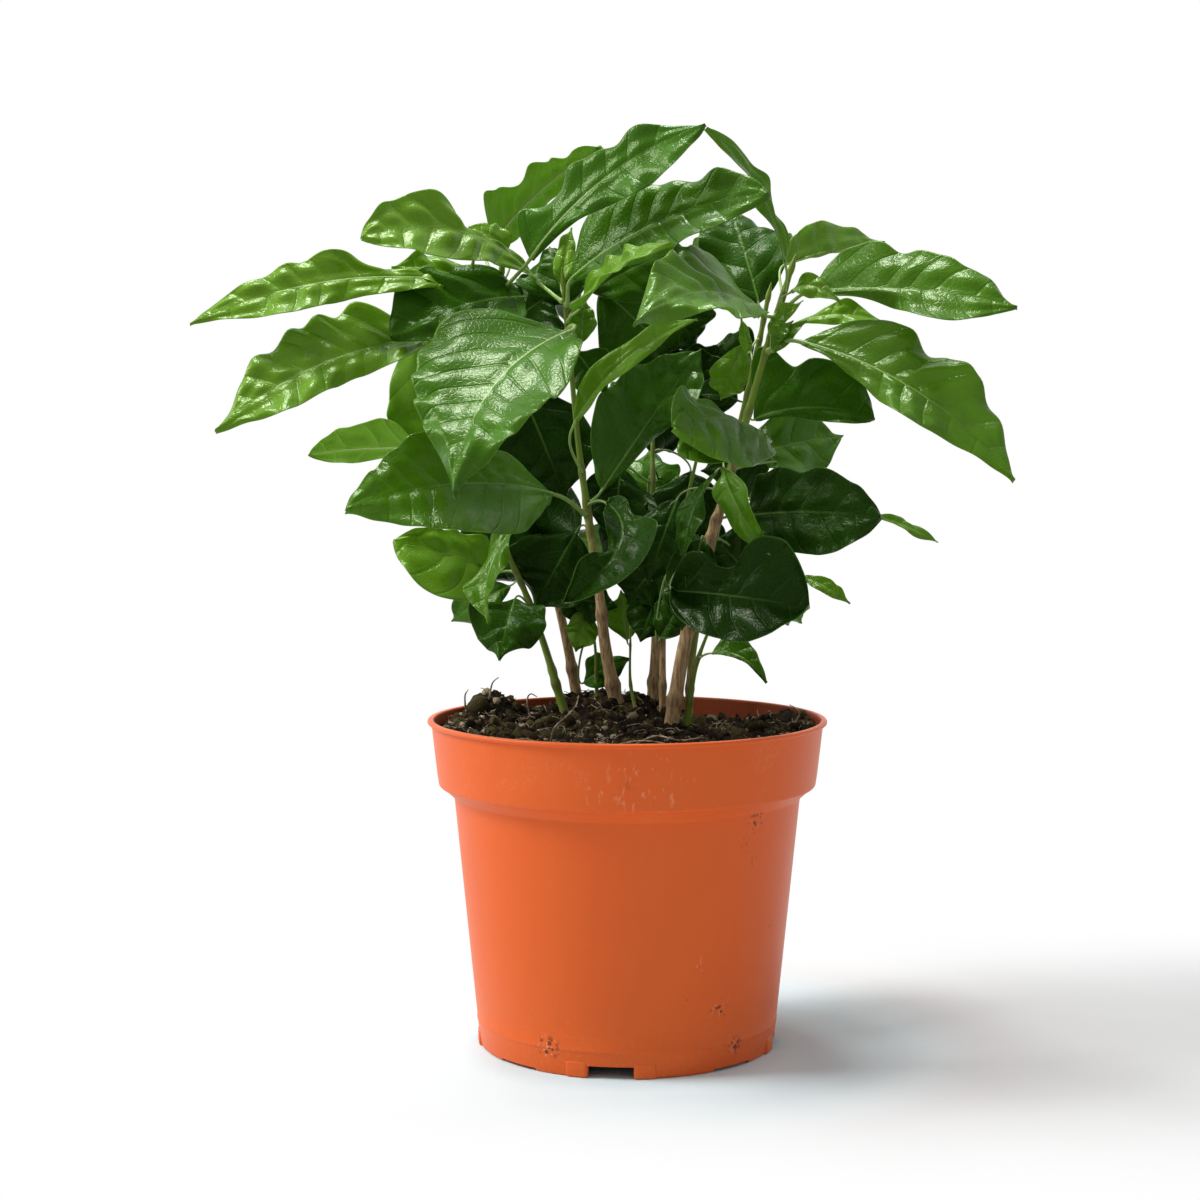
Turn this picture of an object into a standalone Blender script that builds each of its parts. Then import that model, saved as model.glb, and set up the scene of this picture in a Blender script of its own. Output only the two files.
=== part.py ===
"""Potted coffee plant: a clump of young arabica coffee plants in a plastic nursery pot.

Metres, +Z up, standing on Z = 0. The origin is under the middle of the whole plant's bounding
box. The pot's own axis lies PLANT_SHIFT away from it, and everything is laid out about that axis
in millimetres, then scaled by MM.

The pot is a turned shell with notches in its foot and drain holes in its floor. The soil fills
it and has a socket for each stem. Each stem is a tapering tube, and each leaf is one thin solid:
a petiole that starts at its stem and widens into the blade.
"""

import math
from collections import namedtuple

import bmesh
import bpy
from mathutils import Matrix, Vector

MM = 0.001
GAP = 0.3  # between neighbouring solids, in mm as all sizes below
PLANT_SHIFT = (7.5, -13.0)  # from the origin to the pot's axis

# ---- pot --------------------------------------------------------------------------------------
POT_HEIGHT = 98.4
LIP_RADIUS = 60.0
LIP_THICKNESS = 1.6
LIP_HEIGHT = 1.7
LIP_ROUND = 0.4  # rounding of the lip's edges
COLLAR_TOP_RADIUS = 58.8
COLLAR_FOOT_RADIUS = 56.7
COLLAR_FOOT_Z = 78.5
COLLAR_ROUND = 0.7  # rounding of the collar's lower edge
BODY_TOP_RADIUS = 52.0
BODY_TOP_Z = 75.2
FOOT_RADIUS = 44.5
WALL = 1.1
SHELF_RISE = 1.0  # how much higher the step under the collar lies inside than outside
FLOOR_Z = 4.2  # underside of the raised floor
FLOOR_FILLET = 1.5
FOOT_ROUND = 1.0
POT_SEGMENTS = 48
NOTCH_WIDTH = 14.5
NOTCH_HEIGHT = 3.6
NOTCH_BEARING = -6.0  # of the front notch, in degrees round from the front
NOTCH_COUNT = 4
RELIEF_WIDTH = 15.0  # the shallow gap between two notches
RELIEF_HEIGHT = 0.9
RELIEF_TURN = 50.0  # degrees on from a notch
CUTTER_DEPTH = 6.0  # of the blocks that cut the notches and reliefs, across the foot's wall
DRAIN_HOLE_RADIUS = 3.5
DRAIN_RING_RADIUS = 34.0
DRAIN_COUNT = 6
DRAIN_TURN = 8.0  # degrees that the ring of holes is turned by

# ---- soil -------------------------------------------------------------------------------------
SOIL_LEVEL = 92.4  # at the front, against the pot's wall
SOIL_SEGMENTS = 48
SOIL_RING_STEPS = 7
SOIL_EDGE_DIP = 7.0  # how far below SOIL_LEVEL its edge may sink
SOIL_RIPPLE_HEIGHT = 0.45
SOIL_RIPPLE_LENGTH = 16.0
# Mounds and hollows in the soil's surface: x, y, height, radius.
SOIL_MOUNDS = (
    (0, 24, 4.6, 30),
    (-45, 31, 9.0, 11),
    (-16, 40, 5.0, 12),
    (46, 12, 4.8, 11),
    (24, 46, -6.5, 15),
    (-30, 48, -5.0, 8),
    (12, -4, 2.0, 12),
)
SOCKET_DEPTH = 20.0  # how far a stem goes into the soil

# ---- colours ----------------------------------------------------------------------------------
TERRACOTTA = (0.62, 0.13, 0.05)
PEAT = (0.03, 0.02, 0.012)
GREEN_STEM = (0.10, 0.22, 0.03)
BARK = (0.20, 0.11, 0.06)
YOUNG_LEAF = (0.09, 0.26, 0.015)
OLD_LEAF = (0.012, 0.06, 0.008)

# ---- stems ------------------------------------------------------------------------------------
# points: along the stem from where it leaves the soil.  wood: 0 for green to 1 for brown bark.
STEM_SAMPLES = 14
Stem = namedtuple("Stem", "foot_radius top_radius wood points")
MAIN_LEFT = (
    (-2.6, 22, 97), (-6.6, 20, 117), (-8.7, 17, 136), (-12, 14, 159),
    (-15, 11, 182), (-18, 6, 215), (-19, 5, 226),
)
LEFT_OLIVE = (
    (-19.5, 24, 97), (-22.5, 24, 107), (-25.5, 24, 117),
    (-30.5, 22, 132), (-36, 20, 145), (-40, 18, 158),
)
LEFT_CROWN = (
    (-16, 41, 100), (-19, 39, 117), (-23, 38, 134), (-30, 36, 158),
    (-36, 29, 190), (-39, 17, 215), (-38, 9, 230),
)
LEFT_SIDE = (
    (-21, 34, 100), (-26, 33, 117), (-32, 31, 134), (-40, 27, 155),
    (-48, 18, 182), (-51, 10, 205), (-47, 5, 230),
)
SEEDLING_LEFT = ((-9.5, 33, 100), (-10, 32, 116), (-12, 31, 130))
SEEDLING_MIDDLE = ((3, 17, 97), (1, 20, 107), (1, 23, 120))
MIDDLE = (
    (8, 30, 97), (9, 30, 113), (9, 30, 126), (8, 32, 144),
    (8, 37, 163), (8, 44, 190), (8, 50, 216),
)
MIDDLE_SECOND = ((11, 17, 97), (11, 18, 120), (12, 20, 136), (17, 24, 157), (23, 28, 182))
MAIN_RIGHT = (
    (13, -3, 95), (17, -3, 120), (22, -2, 139), (25, -1, 153),
    (29, 0, 165), (35, 2, 186), (41, 3, 207), (48, 3, 230),
)
FRONT_RIGHT = ((18, -2, 95), (19, -3, 106), (21, -4, 116), (25, -5, 127))
RIGHT_SECOND = (
    (19, 20, 96), (20, 20, 114), (23, 19, 133), (28, 17, 157),
    (34, 15, 185), (39, 13, 207), (42, 13, 222),
)
STEMS = {
    "main_left": Stem(1.9, 1.1, 0.75, MAIN_LEFT),
    "left_olive": Stem(1.5, 1.1, 0.2, LEFT_OLIVE),
    "left_crown": Stem(1.5, 1.1, 0.7, LEFT_CROWN),
    "left_side": Stem(1.3, 0.9, 0.5, LEFT_SIDE),
    "seedling_left": Stem(0.7, 0.5, 0.2, SEEDLING_LEFT),
    "seedling_middle": Stem(0.7, 0.5, 0.4, SEEDLING_MIDDLE),
    "middle": Stem(1.9, 1.0, 0.9, MIDDLE),
    "middle_second": Stem(1.2, 0.8, 0.8, MIDDLE_SECOND),
    "main_right": Stem(1.8, 1.1, 0.9, MAIN_RIGHT),
    "front_right": Stem(1.3, 0.7, 0.1, FRONT_RIGHT),
    "right_second": Stem(1.3, 0.9, 0.4, RIGHT_SECOND),
}

# ---- leaves -----------------------------------------------------------------------------------
# height: where the petiole leaves its stem.  base, tip: ends of the blade's midrib.
# width: of the blade.  belly: where it is widest, from 0 at the base to 1 at the tip.
# arch: how far the midrib bows towards the upper face, and sweep: how far it bows sideways.
# tilt: turns the upper face from the sky (0) to the front (90) or, below zero, to the back.
# lean: turns it about the midrib.  fold: how far each half rises.  All three are in degrees.
# age: 0 for a young bright leaf to 1 for an old dark one.
Leaf = namedtuple("Leaf", "stem height base tip width belly arch sweep tilt lean fold age")
LEAVES = {
    "crown_left": Leaf("main_left", 223, (-27, 12, 229), (-77, -26, 240), 26, 0.64, 3, 6, 58, 0, 8, 0.3),
    "top": Leaf("left_crown", 226, (-29, -7, 235), (22, -24, 272), 26, 0.48, 3, -4, 60, 0, 10, 0.4),
    "top_second": Leaf("main_left", 222, (-17, 2, 230), (40, -28, 252), 29, 0.50, 4, -3, 60, 0, 8, 0.4),
    "crown_narrow": Leaf("main_left", 217, (-14, -11, 221), (12, -44, 236), 14, 0.50, 3, 0, 40, 0, 20, 0.1),
    "top_back": Leaf("left_crown", 228, (-43, 25, 241), (-9, 62, 276), 25, 0.42, 3, 0, -50, 0, 10, 0.1),
    "left_upper": Leaf("left_side", 227, (-51, 0, 229), (-129, -34, 213), 20, 0.48, 4, 4, 58, 0, 8, 0.2),
    "left_middle": Leaf("left_side", 208, (-60, -4, 212), (-113, -52, 184), 27, 0.50, 4, 6, 60, 0, 8, 0.4),
    "left_quilted": Leaf("left_crown", 218, (-30, -9, 221), (-63, -46, 209), 32, 0.50, 4, 0, 50, 0, 8, 0.8),
    "left_backlit": Leaf("left_crown", 203, (-55, 40, 199), (-78, 62, 179), 22, 0.50, 2, 0, -40, 0, 10, 0.2),
    "left_lower": Leaf("main_left", 159, (-22, 2, 166), (-79, -50, 161), 33, 0.48, 4, 3, 62, 0, 8, 0.5),
    "left_pale": Leaf("left_crown", 183, (-65, 32, 180), (-101, 42, 177), 17, 0.50, 2, 0, -60, 0, 10, 0.1),
    "left_olive": Leaf("left_olive", 141, (-41, 22, 140), (-70, 0, 150), 27, 0.50, 3, -2, 60, 0, 8, 0.5),
    "left_hanging": Leaf("left_olive", 154, (-36, 6, 156), (-42, -14, 128), 16, 0.45, 2, 0, 30, 60, 20, 0.3),
    "left_pointed": Leaf("left_olive", 135, (-44, 36, 132), (-62, 60, 120), 15, 0.45, 2, 0, 30, 0, 10, 0.4),
    "left_low": Leaf("left_olive", 130, (-32, 9, 133), (-37, -10, 117), 23, 0.45, 2, 0, 60, 0, 8, 0.8),
    "front_big": Leaf("main_left", 214, (-17, -12, 213), (-46, -70, 169), 42, 0.42, 5, 9, 30, 0, 8, 0.2),
    "front_right": Leaf("main_left", 185, (-13, 1, 190), (16, -14, 213), 15, 0.35, 2, -3, 45, 40, 20, 0.1),
    "centre_dark": Leaf("main_left", 162, (-8, 23, 166), (23, 34, 210), 32, 0.45, 4, 0, 80, 0, 8, 0.9),
    "centre_curled": Leaf("main_left", 162, (-6, 5, 163), (-18, -30, 136), 24, 0.50, 5, -10, 40, 0, 8, 0.9),
    "centre_shade": Leaf("main_left", 154, (-16, 27, 153), (-28, 25, 131), 26, 0.48, 2, 0, 78, 0, 8, 1.0),
    "back_upper": Leaf("main_left", 218, (-9, 28, 226), (15, 44, 207), 32, 0.45, 3, 0, 74, 0, 8, 0.9),
    "back_left": Leaf("left_crown", 215, (-31, 30, 219), (-22, 68, 226), 22, 0.45, 3, 0, 20, 0, 8, 0.8),
    "mid_hanging": Leaf("main_right", 168, (26, -9, 173), (17, -20, 139), 12, 0.50, 3, 2, 30, 50, 15, 0.8),
    "right_backlit": Leaf("right_second", 203, (35, 24, 206), (27, 44, 193), 16, 0.45, 2, 0, -40, 0, 10, 0.2),
    "right_upright": Leaf("main_right", 226, (47, -3, 234), (23, -16, 275), 15, 0.45, 2, 8, 60, 60, 25, 0.3),
    "right_back": Leaf("right_second", 218, (40, 20, 224), (32, 46, 255), 27, 0.45, 3, 0, 80, 0, 8, 0.9),
    "right_arching": Leaf("main_right", 217, (40, -10, 219), (2, -62, 214), 30, 0.52, 6, 4, 56, 0, 8, 0.2),
    "right_far": Leaf("main_right", 224, (53, 22, 236), (80, 60, 249), 15, 0.40, 2, 0, -45, 0, 9, 0.3),
    "right_upper": Leaf("main_right", 220, (57, 0, 226), (114, -28, 220), 28, 0.42, 4, 0, 58, 0, 8, 0.2),
    "right_edge": Leaf("right_second", 209, (50, 12, 215), (80, 8, 215), 12, 0.50, 3, 0, 10, 0, 15, 0.1),
    "right_outer": Leaf("main_right", 208, (51, -8, 211), (110, -40, 170), 27, 0.45, 4, -7, 55, 0, 8, 0.4),
    "right_shade": Leaf("main_right", 192, (44, 10, 188), (74, 2, 192), 28, 0.50, 3, -2, 75, 0, 8, 0.9),
    "right_low_back": Leaf("right_second", 183, (41, 26, 176), (71, 58, 181), 18, 0.50, 3, 0, 50, 0, 10, 0.4),
    "right_folded": Leaf("main_right", 184, (42, -14, 182), (13, -54, 186), 30, 0.60, 4, 2, 62, 0, 8, 0.8),
    "right_hanging": Leaf("main_right", 176, (28, -9, 174), (41, -30, 149), 13, 0.50, 3, 0, 30, 60, 20, 0.3),
    "right_big": Leaf("main_right", 158, (35, 5, 159), (71, -24, 161), 36, 0.45, 4, 0, 74, 0, 8, 0.9),
    "right_narrow": Leaf("right_second", 160, (75, 42, 159), (98, 46, 150), 7, 0.50, 2, 0, 50, 0, 15, 0.2),
    "low_left": Leaf("main_right", 150, (22, -8, 153), (16, -14, 126), 18, 0.50, 2, 0, 80, 0, 8, 0.9),
    "low_round": Leaf("main_right", 138, (29, -15, 132), (49, -58, 131), 36, 0.45, 4, 0, 56, 0, 8, 1.0),
    "low_back": Leaf("right_second", 141, (46, 30, 143), (56, 48, 126), 15, 0.50, 2, 0, 60, 0, 10, 0.3),
    "right_pointed": Leaf("front_right", 117, (27, -8, 119), (41, -18, 111), 13, 0.40, 3, -2, 60, 0, 10, 0.4),
    "middle_olive": Leaf("seedling_middle", 118, (0, 29, 120), (-2, 27, 135), 12, 0.50, 2, 0, -80, 0, 9, 0.3),
    "rear_left": Leaf("left_crown", 186, (-34, 44, 188), (-37, 88, 168), 29, 0.48, 5, 0, 0, 0, 8, 0.7),
    "rear_right": Leaf("right_second", 168, (38, 30, 166), (70, 74, 152), 27, 0.48, 5, 0, 10, 0, 8, 0.7),
    "rear_top": Leaf("middle", 211, (12, 58, 224), (32, 90, 246), 27, 0.48, 4, 0, -40, 0, 8, 0.4),
    "rear_middle": Leaf("middle", 192, (9, 58, 195), (8, 97, 184), 28, 0.48, 6, 0, 0, 0, 8, 0.6),
    "rear_low": Leaf("left_crown", 152, (-22, 48, 151), (-14, 90, 136), 27, 0.48, 5, 0, 0, 0, 8, 0.9),
}
LEAF_THICKNESS = 0.7
PETIOLE_HALF_WIDTH = 0.8
TIP_HALF_WIDTH = 0.35
PETIOLE_STEPS = 2
BLADE_FULLNESS = 0.85  # below 1 for a fuller blade than a sine's
DRIP_TIP_START = 0.7  # where along the blade its drawn-out tip begins
DRIP_TIP_TAPER = 0.5  # how much narrower the tip gets than the plain outline
BLADE_STATIONS = (0.0, 0.1, 0.24, 0.42, 0.6, 0.77, 0.9, 1.0)
HALF_COLUMNS = 2  # columns of faces on each side of the midrib


def smooth_path(points, samples):
    """Evenly spaced points on a smooth curve through the given ones."""
    knots = [Vector(p) for p in points]
    knots = [2 * knots[0] - knots[1], *knots, 2 * knots[-1] - knots[-2]]
    spans = len(points) - 1
    path = []
    for i in range(samples + 1):
        along = i / samples * spans
        k = min(int(along), spans - 1)
        t = along - k
        a, b, c, d = knots[k : k + 4]
        path.append(
            0.5 * (2 * b + (c - a) * t + (2 * a - 5 * b + 4 * c - d) * t * t + (3 * b - a - 3 * c + d) * t**3)
        )
    return path


def stem_path(stem):
    """(point, radius) along a stem, from its foot in the soil to its top."""
    foot = Vector(stem.points[0])
    heading = Vector(stem.points[1]) - foot
    buried = foot - heading * (SOCKET_DEPTH / heading.z)
    path = [buried, *smooth_path(stem.points, STEM_SAMPLES)]
    taper = stem.top_radius - stem.foot_radius
    radii = [stem.foot_radius + taper * max(0, i - 1) / STEM_SAMPLES for i in range(len(path))]
    return list(zip(path, radii))


def stem_at(stem, height):
    """The stem's centre and radius at a height."""
    path = stem_path(stem)
    for (a, ra), (b, rb) in zip(path, path[1:]):
        if a.z <= height <= b.z:
            t = (height - a.z) / (b.z - a.z)
            return a.lerp(b, t), ra + (rb - ra) * t
    return path[-1]


def blade_half_width(leaf, u):
    """Half the blade's width at u, from 0 at its base to 1 at its drawn-out tip."""
    power = math.log(0.5) / math.log(leaf.belly)
    body = math.sin(math.pi * u**power) ** BLADE_FULLNESS
    taper = min(1.0, max(0.0, (u - DRIP_TIP_START) / (1 - DRIP_TIP_START)))
    return leaf.width / 2 * body * (1 - DRIP_TIP_TAPER * taper * taper * (3 - 2 * taper))


def blade_axes(leaf):
    """The blade's straight line from base to tip, the way its upper face looks, and its side."""
    base, tip = Vector(leaf.base), Vector(leaf.tip)
    chord = (tip - base).normalized()
    tilt = math.radians(leaf.tilt)
    up = Vector((0, -math.sin(tilt), math.cos(tilt)))
    up = (up - chord * up.dot(chord)).normalized()
    side = chord.cross(up)
    lean = math.radians(leaf.lean)
    return chord, up * math.cos(lean) + side * math.sin(lean), side * math.cos(lean) - up * math.sin(lean)


def blade_midrib(leaf, u):
    """A point of the midrib."""
    _, up, side = blade_axes(leaf)
    bow = 4 * u * (1 - u)
    return Vector(leaf.base).lerp(Vector(leaf.tip), u) + bow * (leaf.arch * up + leaf.sweep * side)


def petiole_rows(leaf):
    """(point, side) of each row of the petiole, from the gap at its stem up to the blade's base."""
    centre, radius = stem_at(STEMS[leaf.stem], leaf.height)
    base = Vector(leaf.base)
    outward = Vector((base.x - centre.x, base.y - centre.y, 0)).normalized()
    start = centre + outward * (radius + GAP + LEAF_THICKNESS / 3)
    arrive = (blade_midrib(leaf, 0.05) - base).normalized()
    reach = (base - start).length / 3
    leave_handle, arrive_handle = start + outward * reach, base - arrive * reach
    blade_side = blade_axes(leaf)[2]
    level_side = outward.cross(Vector((0, 0, 1)))
    if level_side.dot(blade_side) < 0:
        level_side = -level_side
    rows = []
    for i in range(PETIOLE_STEPS):
        t = i / PETIOLE_STEPS
        point = start * (1 - t) ** 3 + base * t**3
        point += 3 * (1 - t) * t * (leave_handle * (1 - t) + arrive_handle * t)
        rows.append((point, level_side.lerp(blade_side, t).normalized()))
    return rows


def leaf_rows(leaf):
    """(midrib point, side, up, half width, fold) of each row of the leaf's grid."""
    _, _, side = blade_axes(leaf)
    rows = [(point, row_side, PETIOLE_HALF_WIDTH, 0.0) for point, row_side in petiole_rows(leaf)]
    for u in BLADE_STATIONS:
        least = PETIOLE_HALF_WIDTH if u < 0.5 else TIP_HALF_WIDTH
        half = max(blade_half_width(leaf, u), least)
        rows.append((blade_midrib(leaf, u), side, half, math.radians(leaf.fold)))
    shaped = []
    for i, (point, row_side, half, fold) in enumerate(rows):
        along = (rows[min(i + 1, len(rows) - 1)][0] - rows[max(i - 1, 0)][0]).normalized()
        row_side = (row_side - along * row_side.dot(along)).normalized()
        shaped.append((point, row_side, row_side.cross(along), half, fold))
    return shaped


def new_collection(name):
    collection = bpy.data.collections.new(name)
    bpy.context.scene.collection.children.link(collection)
    return collection


def new_material(name, color, roughness):
    material = bpy.data.materials.new(name)
    material.use_nodes = True
    shader = material.node_tree.nodes["Principled BSDF"]
    shader.inputs["Base Color"].default_value = (*color, 1.0)
    shader.inputs["Roughness"].default_value = roughness
    material.diffuse_color = (*color, 1.0)
    return material


def blend_colors(a, b, amount):
    return tuple(x + (y - x) * amount for x, y in zip(a, b))


def add_object(name, data, collection, parent, material=None):
    obj = bpy.data.objects.new(name, data)
    collection.objects.link(obj)
    obj.parent = parent
    if material:
        data.materials.append(material)
    return obj


def shade(mesh, angle=40):
    mesh.shade_smooth()
    mesh.set_sharp_from_angle(angle=math.radians(angle))


def turned_mesh(name, profile, segments):
    """A closed solid turned from (radius, z) points from axis to axis, down the outside."""
    outline = bpy.data.meshes.new(name)
    points = [(r * MM, 0, z * MM) for r, z in profile]
    outline.from_pydata(points, [(i, i + 1) for i in range(len(points) - 1)], [])
    turned = bpy.data.objects.new(name, outline)
    bpy.context.scene.collection.objects.link(turned)
    screw = turned.modifiers.new("turn", "SCREW")
    screw.steps = screw.render_steps = segments
    screw.use_merge_vertices = True
    screw.merge_threshold = 0.00001
    screw.use_smooth_shade = True
    mesh = evaluated_mesh(turned)
    bpy.data.objects.remove(turned)
    bpy.data.meshes.remove(outline)
    mesh.name = name
    return mesh


def evaluated_mesh(obj):
    graph = bpy.context.evaluated_depsgraph_get()
    graph.update()
    return bpy.data.meshes.new_from_object(obj.evaluated_get(graph))


def weld(mesh, distance=0.00001):
    form = bmesh.new()
    form.from_mesh(mesh)
    bmesh.ops.remove_doubles(form, verts=form.verts, dist=distance)
    form.to_mesh(mesh)
    form.free()


def cutter_object(name, mesh, collection, parent):
    cutter = add_object(name, mesh, collection, parent)
    cutter.hide_render = True
    cutter.display_type = "WIRE"
    return cutter


def cut(obj, cutter):
    boolean = obj.modifiers.new(cutter.name, "BOOLEAN")
    boolean.operation = "DIFFERENCE"
    boolean.solver = "EXACT"
    boolean.object = cutter


def block_mesh(name, bearing, width, height):
    """A block across the foot's wall, at a bearing from the front, that reaches up to height."""
    form = bmesh.new()
    bmesh.ops.create_cube(form, size=1.0)
    below = 1.0
    bmesh.ops.scale(form, vec=Vector((width, CUTTER_DEPTH, height + below)) * MM, verts=form.verts)
    radius = FOOT_RADIUS - WALL
    angle = math.radians(bearing)
    middle = Vector((math.sin(angle) * radius, -math.cos(angle) * radius, (height - below) / 2)) * MM
    bmesh.ops.rotate(form, cent=(0, 0, 0), matrix=Matrix.Rotation(angle, 3, "Z"), verts=form.verts)
    bmesh.ops.translate(form, vec=middle, verts=form.verts)
    mesh = bpy.data.meshes.new(name)
    form.to_mesh(mesh)
    form.free()
    return mesh


def drill_mesh(name, middle):
    """A short upright cylinder that drills one drain hole."""
    radius = DRAIN_HOLE_RADIUS * MM
    form = bmesh.new()
    bmesh.ops.create_cone(
        form, cap_ends=True, segments=12, radius1=radius, radius2=radius, depth=4 * WALL * MM
    )
    bmesh.ops.translate(form, vec=Vector(middle) * MM, verts=form.verts)
    mesh = bpy.data.meshes.new(name)
    form.to_mesh(mesh)
    form.free()
    return mesh


def body_radius(z):
    """The outer radius of the pot's body below the collar."""
    return FOOT_RADIUS + (BODY_TOP_RADIUS - FOOT_RADIUS) * z / BODY_TOP_Z


def collar_radius(z):
    """The outer radius of the pot's collar."""
    rise = (z - COLLAR_FOOT_Z) / (POT_HEIGHT - LIP_HEIGHT - COLLAR_FOOT_Z)
    return COLLAR_FOOT_RADIUS + (COLLAR_TOP_RADIUS - COLLAR_FOOT_RADIUS) * rise


def pot_profile():
    """The pot's half section: its floor, up the inside, over the lip, down the outside and under."""
    lip_inside = LIP_RADIUS - LIP_THICKNESS
    lip_foot = POT_HEIGHT - LIP_HEIGHT
    floor_top = FLOOR_Z + WALL
    fillet_top = floor_top + FLOOR_FILLET
    return (
        (0, floor_top),
        (body_radius(floor_top) - WALL - FLOOR_FILLET, floor_top),
        (body_radius(fillet_top) - WALL, fillet_top),
        (BODY_TOP_RADIUS - WALL, BODY_TOP_Z + SHELF_RISE),
        (COLLAR_FOOT_RADIUS - WALL, COLLAR_FOOT_Z + SHELF_RISE),
        (COLLAR_TOP_RADIUS - WALL, lip_foot + LIP_ROUND),
        (lip_inside, POT_HEIGHT - LIP_ROUND),
        (lip_inside + LIP_ROUND, POT_HEIGHT),
        (LIP_RADIUS - LIP_ROUND, POT_HEIGHT),
        (LIP_RADIUS, POT_HEIGHT - LIP_ROUND),
        (LIP_RADIUS, lip_foot + LIP_ROUND),
        (COLLAR_TOP_RADIUS, lip_foot),
        (COLLAR_FOOT_RADIUS, COLLAR_FOOT_Z + COLLAR_ROUND),
        (COLLAR_FOOT_RADIUS - COLLAR_ROUND, COLLAR_FOOT_Z),
        (BODY_TOP_RADIUS, BODY_TOP_Z),
        (body_radius(2 * FOOT_ROUND), 2 * FOOT_ROUND),
        (FOOT_RADIUS - FOOT_ROUND / 2, FOOT_ROUND / 2),
        (FOOT_RADIUS - FOOT_ROUND, 0),
        (FOOT_RADIUS - FOOT_ROUND - WALL, 0),
        (FOOT_RADIUS - FOOT_ROUND - WALL, FLOOR_Z - FOOT_ROUND),
        (FOOT_RADIUS - 2 * FOOT_ROUND - WALL, FLOOR_Z),
        (0, FLOOR_Z),
    )


def make_pot(collection, cutters, parent, material):
    mesh = turned_mesh("pot", pot_profile(), POT_SEGMENTS)
    shade(mesh)
    pot = add_object("pot", mesh, collection, parent, material)
    for k in range(NOTCH_COUNT):
        bearing = NOTCH_BEARING + k * 360 / NOTCH_COUNT
        notch = block_mesh(f"notch_{k}", bearing, NOTCH_WIDTH, NOTCH_HEIGHT)
        cut(pot, cutter_object(f"notch_{k}_cutter", notch, cutters, parent))
        relief = block_mesh(f"relief_{k}", bearing + RELIEF_TURN, RELIEF_WIDTH, RELIEF_HEIGHT)
        cut(pot, cutter_object(f"relief_{k}_cutter", relief, cutters, parent))
    for k in range(DRAIN_COUNT):
        angle = math.radians(DRAIN_TURN + k * 360 / DRAIN_COUNT)
        x, y = math.cos(angle) * DRAIN_RING_RADIUS, math.sin(angle) * DRAIN_RING_RADIUS
        hole = drill_mesh(f"drain_{k}", (x, y, FLOOR_Z + WALL / 2))
        cut(pot, cutter_object(f"drain_{k}_cutter", hole, cutters, parent))
    return pot


def soil_height(x, y):
    """The height of the soil's surface."""
    height = SOIL_LEVEL
    for mound_x, mound_y, rise, radius in SOIL_MOUNDS:
        height += rise * math.exp(-((x - mound_x) ** 2 + (y - mound_y) ** 2) / radius**2)
    wave = math.tau / SOIL_RIPPLE_LENGTH
    ripples = math.sin(x * wave + 1) * math.sin(y * wave) + 0.5 * math.sin(2 * wave * (x + y))
    return height + SOIL_RIPPLE_HEIGHT * ripples


def soil_profile():
    """The soil's half section: out along its level top, down the pot's inside and over its floor."""
    inner = GAP + WALL
    floor_top = FLOOR_Z + WALL + GAP
    fillet_top = floor_top + FLOOR_FILLET
    bottom = [
        (collar_radius(SOIL_LEVEL - SOIL_EDGE_DIP) - inner, SOIL_LEVEL),
        (COLLAR_FOOT_RADIUS - inner, COLLAR_FOOT_Z + SHELF_RISE + GAP),
        (BODY_TOP_RADIUS - inner, BODY_TOP_Z + SHELF_RISE + GAP),
        (body_radius(fillet_top) - inner, fillet_top),
        (body_radius(floor_top) - inner - FLOOR_FILLET, floor_top),
        (0, floor_top),
    ]
    edge = bottom[0][0]
    top = [(edge * k / SOIL_RING_STEPS, SOIL_LEVEL) for k in range(SOIL_RING_STEPS)]
    return top + bottom


def make_soil(collection, cutters, parent, material):
    mesh = turned_mesh("soil", soil_profile(), SOIL_SEGMENTS)
    for vertex in mesh.vertices:
        x, y, z = vertex.co / MM
        if z > SOIL_LEVEL - 0.1:
            vertex.co.z = soil_height(x, y) * MM
    shade(mesh)
    soil = add_object("soil", mesh, collection, parent, material)
    for name, stem in STEMS.items():
        socket = tube_mesh(f"{name}_socket", stem_path(stem)[:4], GAP)
        for vertex in socket.vertices:
            if vertex.co.z < (stem.points[0][2] - SOCKET_DEPTH + 1) * MM:
                vertex.co.z -= GAP * MM
        cut(soil, cutter_object(f"{name}_socket_cutter", socket, cutters, parent))
    return soil


def tube_mesh(name, path, extra=0.0):
    """A closed tube through (point, radius) pairs, as a mesh."""
    curve = bpy.data.curves.new(name, "CURVE")
    curve.dimensions = "3D"
    curve.bevel_depth = MM
    curve.bevel_resolution = 2
    curve.use_fill_caps = True
    spline = curve.splines.new("POLY")
    spline.points.add(len(path) - 1)
    for point, (centre, radius) in zip(spline.points, path):
        point.co = (*(centre * MM), 1)
        point.radius = radius + extra
    holder = bpy.data.objects.new(name, curve)
    bpy.context.scene.collection.objects.link(holder)
    mesh = evaluated_mesh(holder)
    bpy.data.objects.remove(holder)
    bpy.data.curves.remove(curve)
    mesh.name = name
    weld(mesh)
    return mesh


def make_stem(name, stem, collection, parent):
    color = blend_colors(GREEN_STEM, BARK, stem.wood)
    mesh = tube_mesh(name, stem_path(stem))
    shade(mesh, 60)
    return add_object(name, mesh, collection, parent, new_material(f"{name}_bark", color, 0.6))


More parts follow.
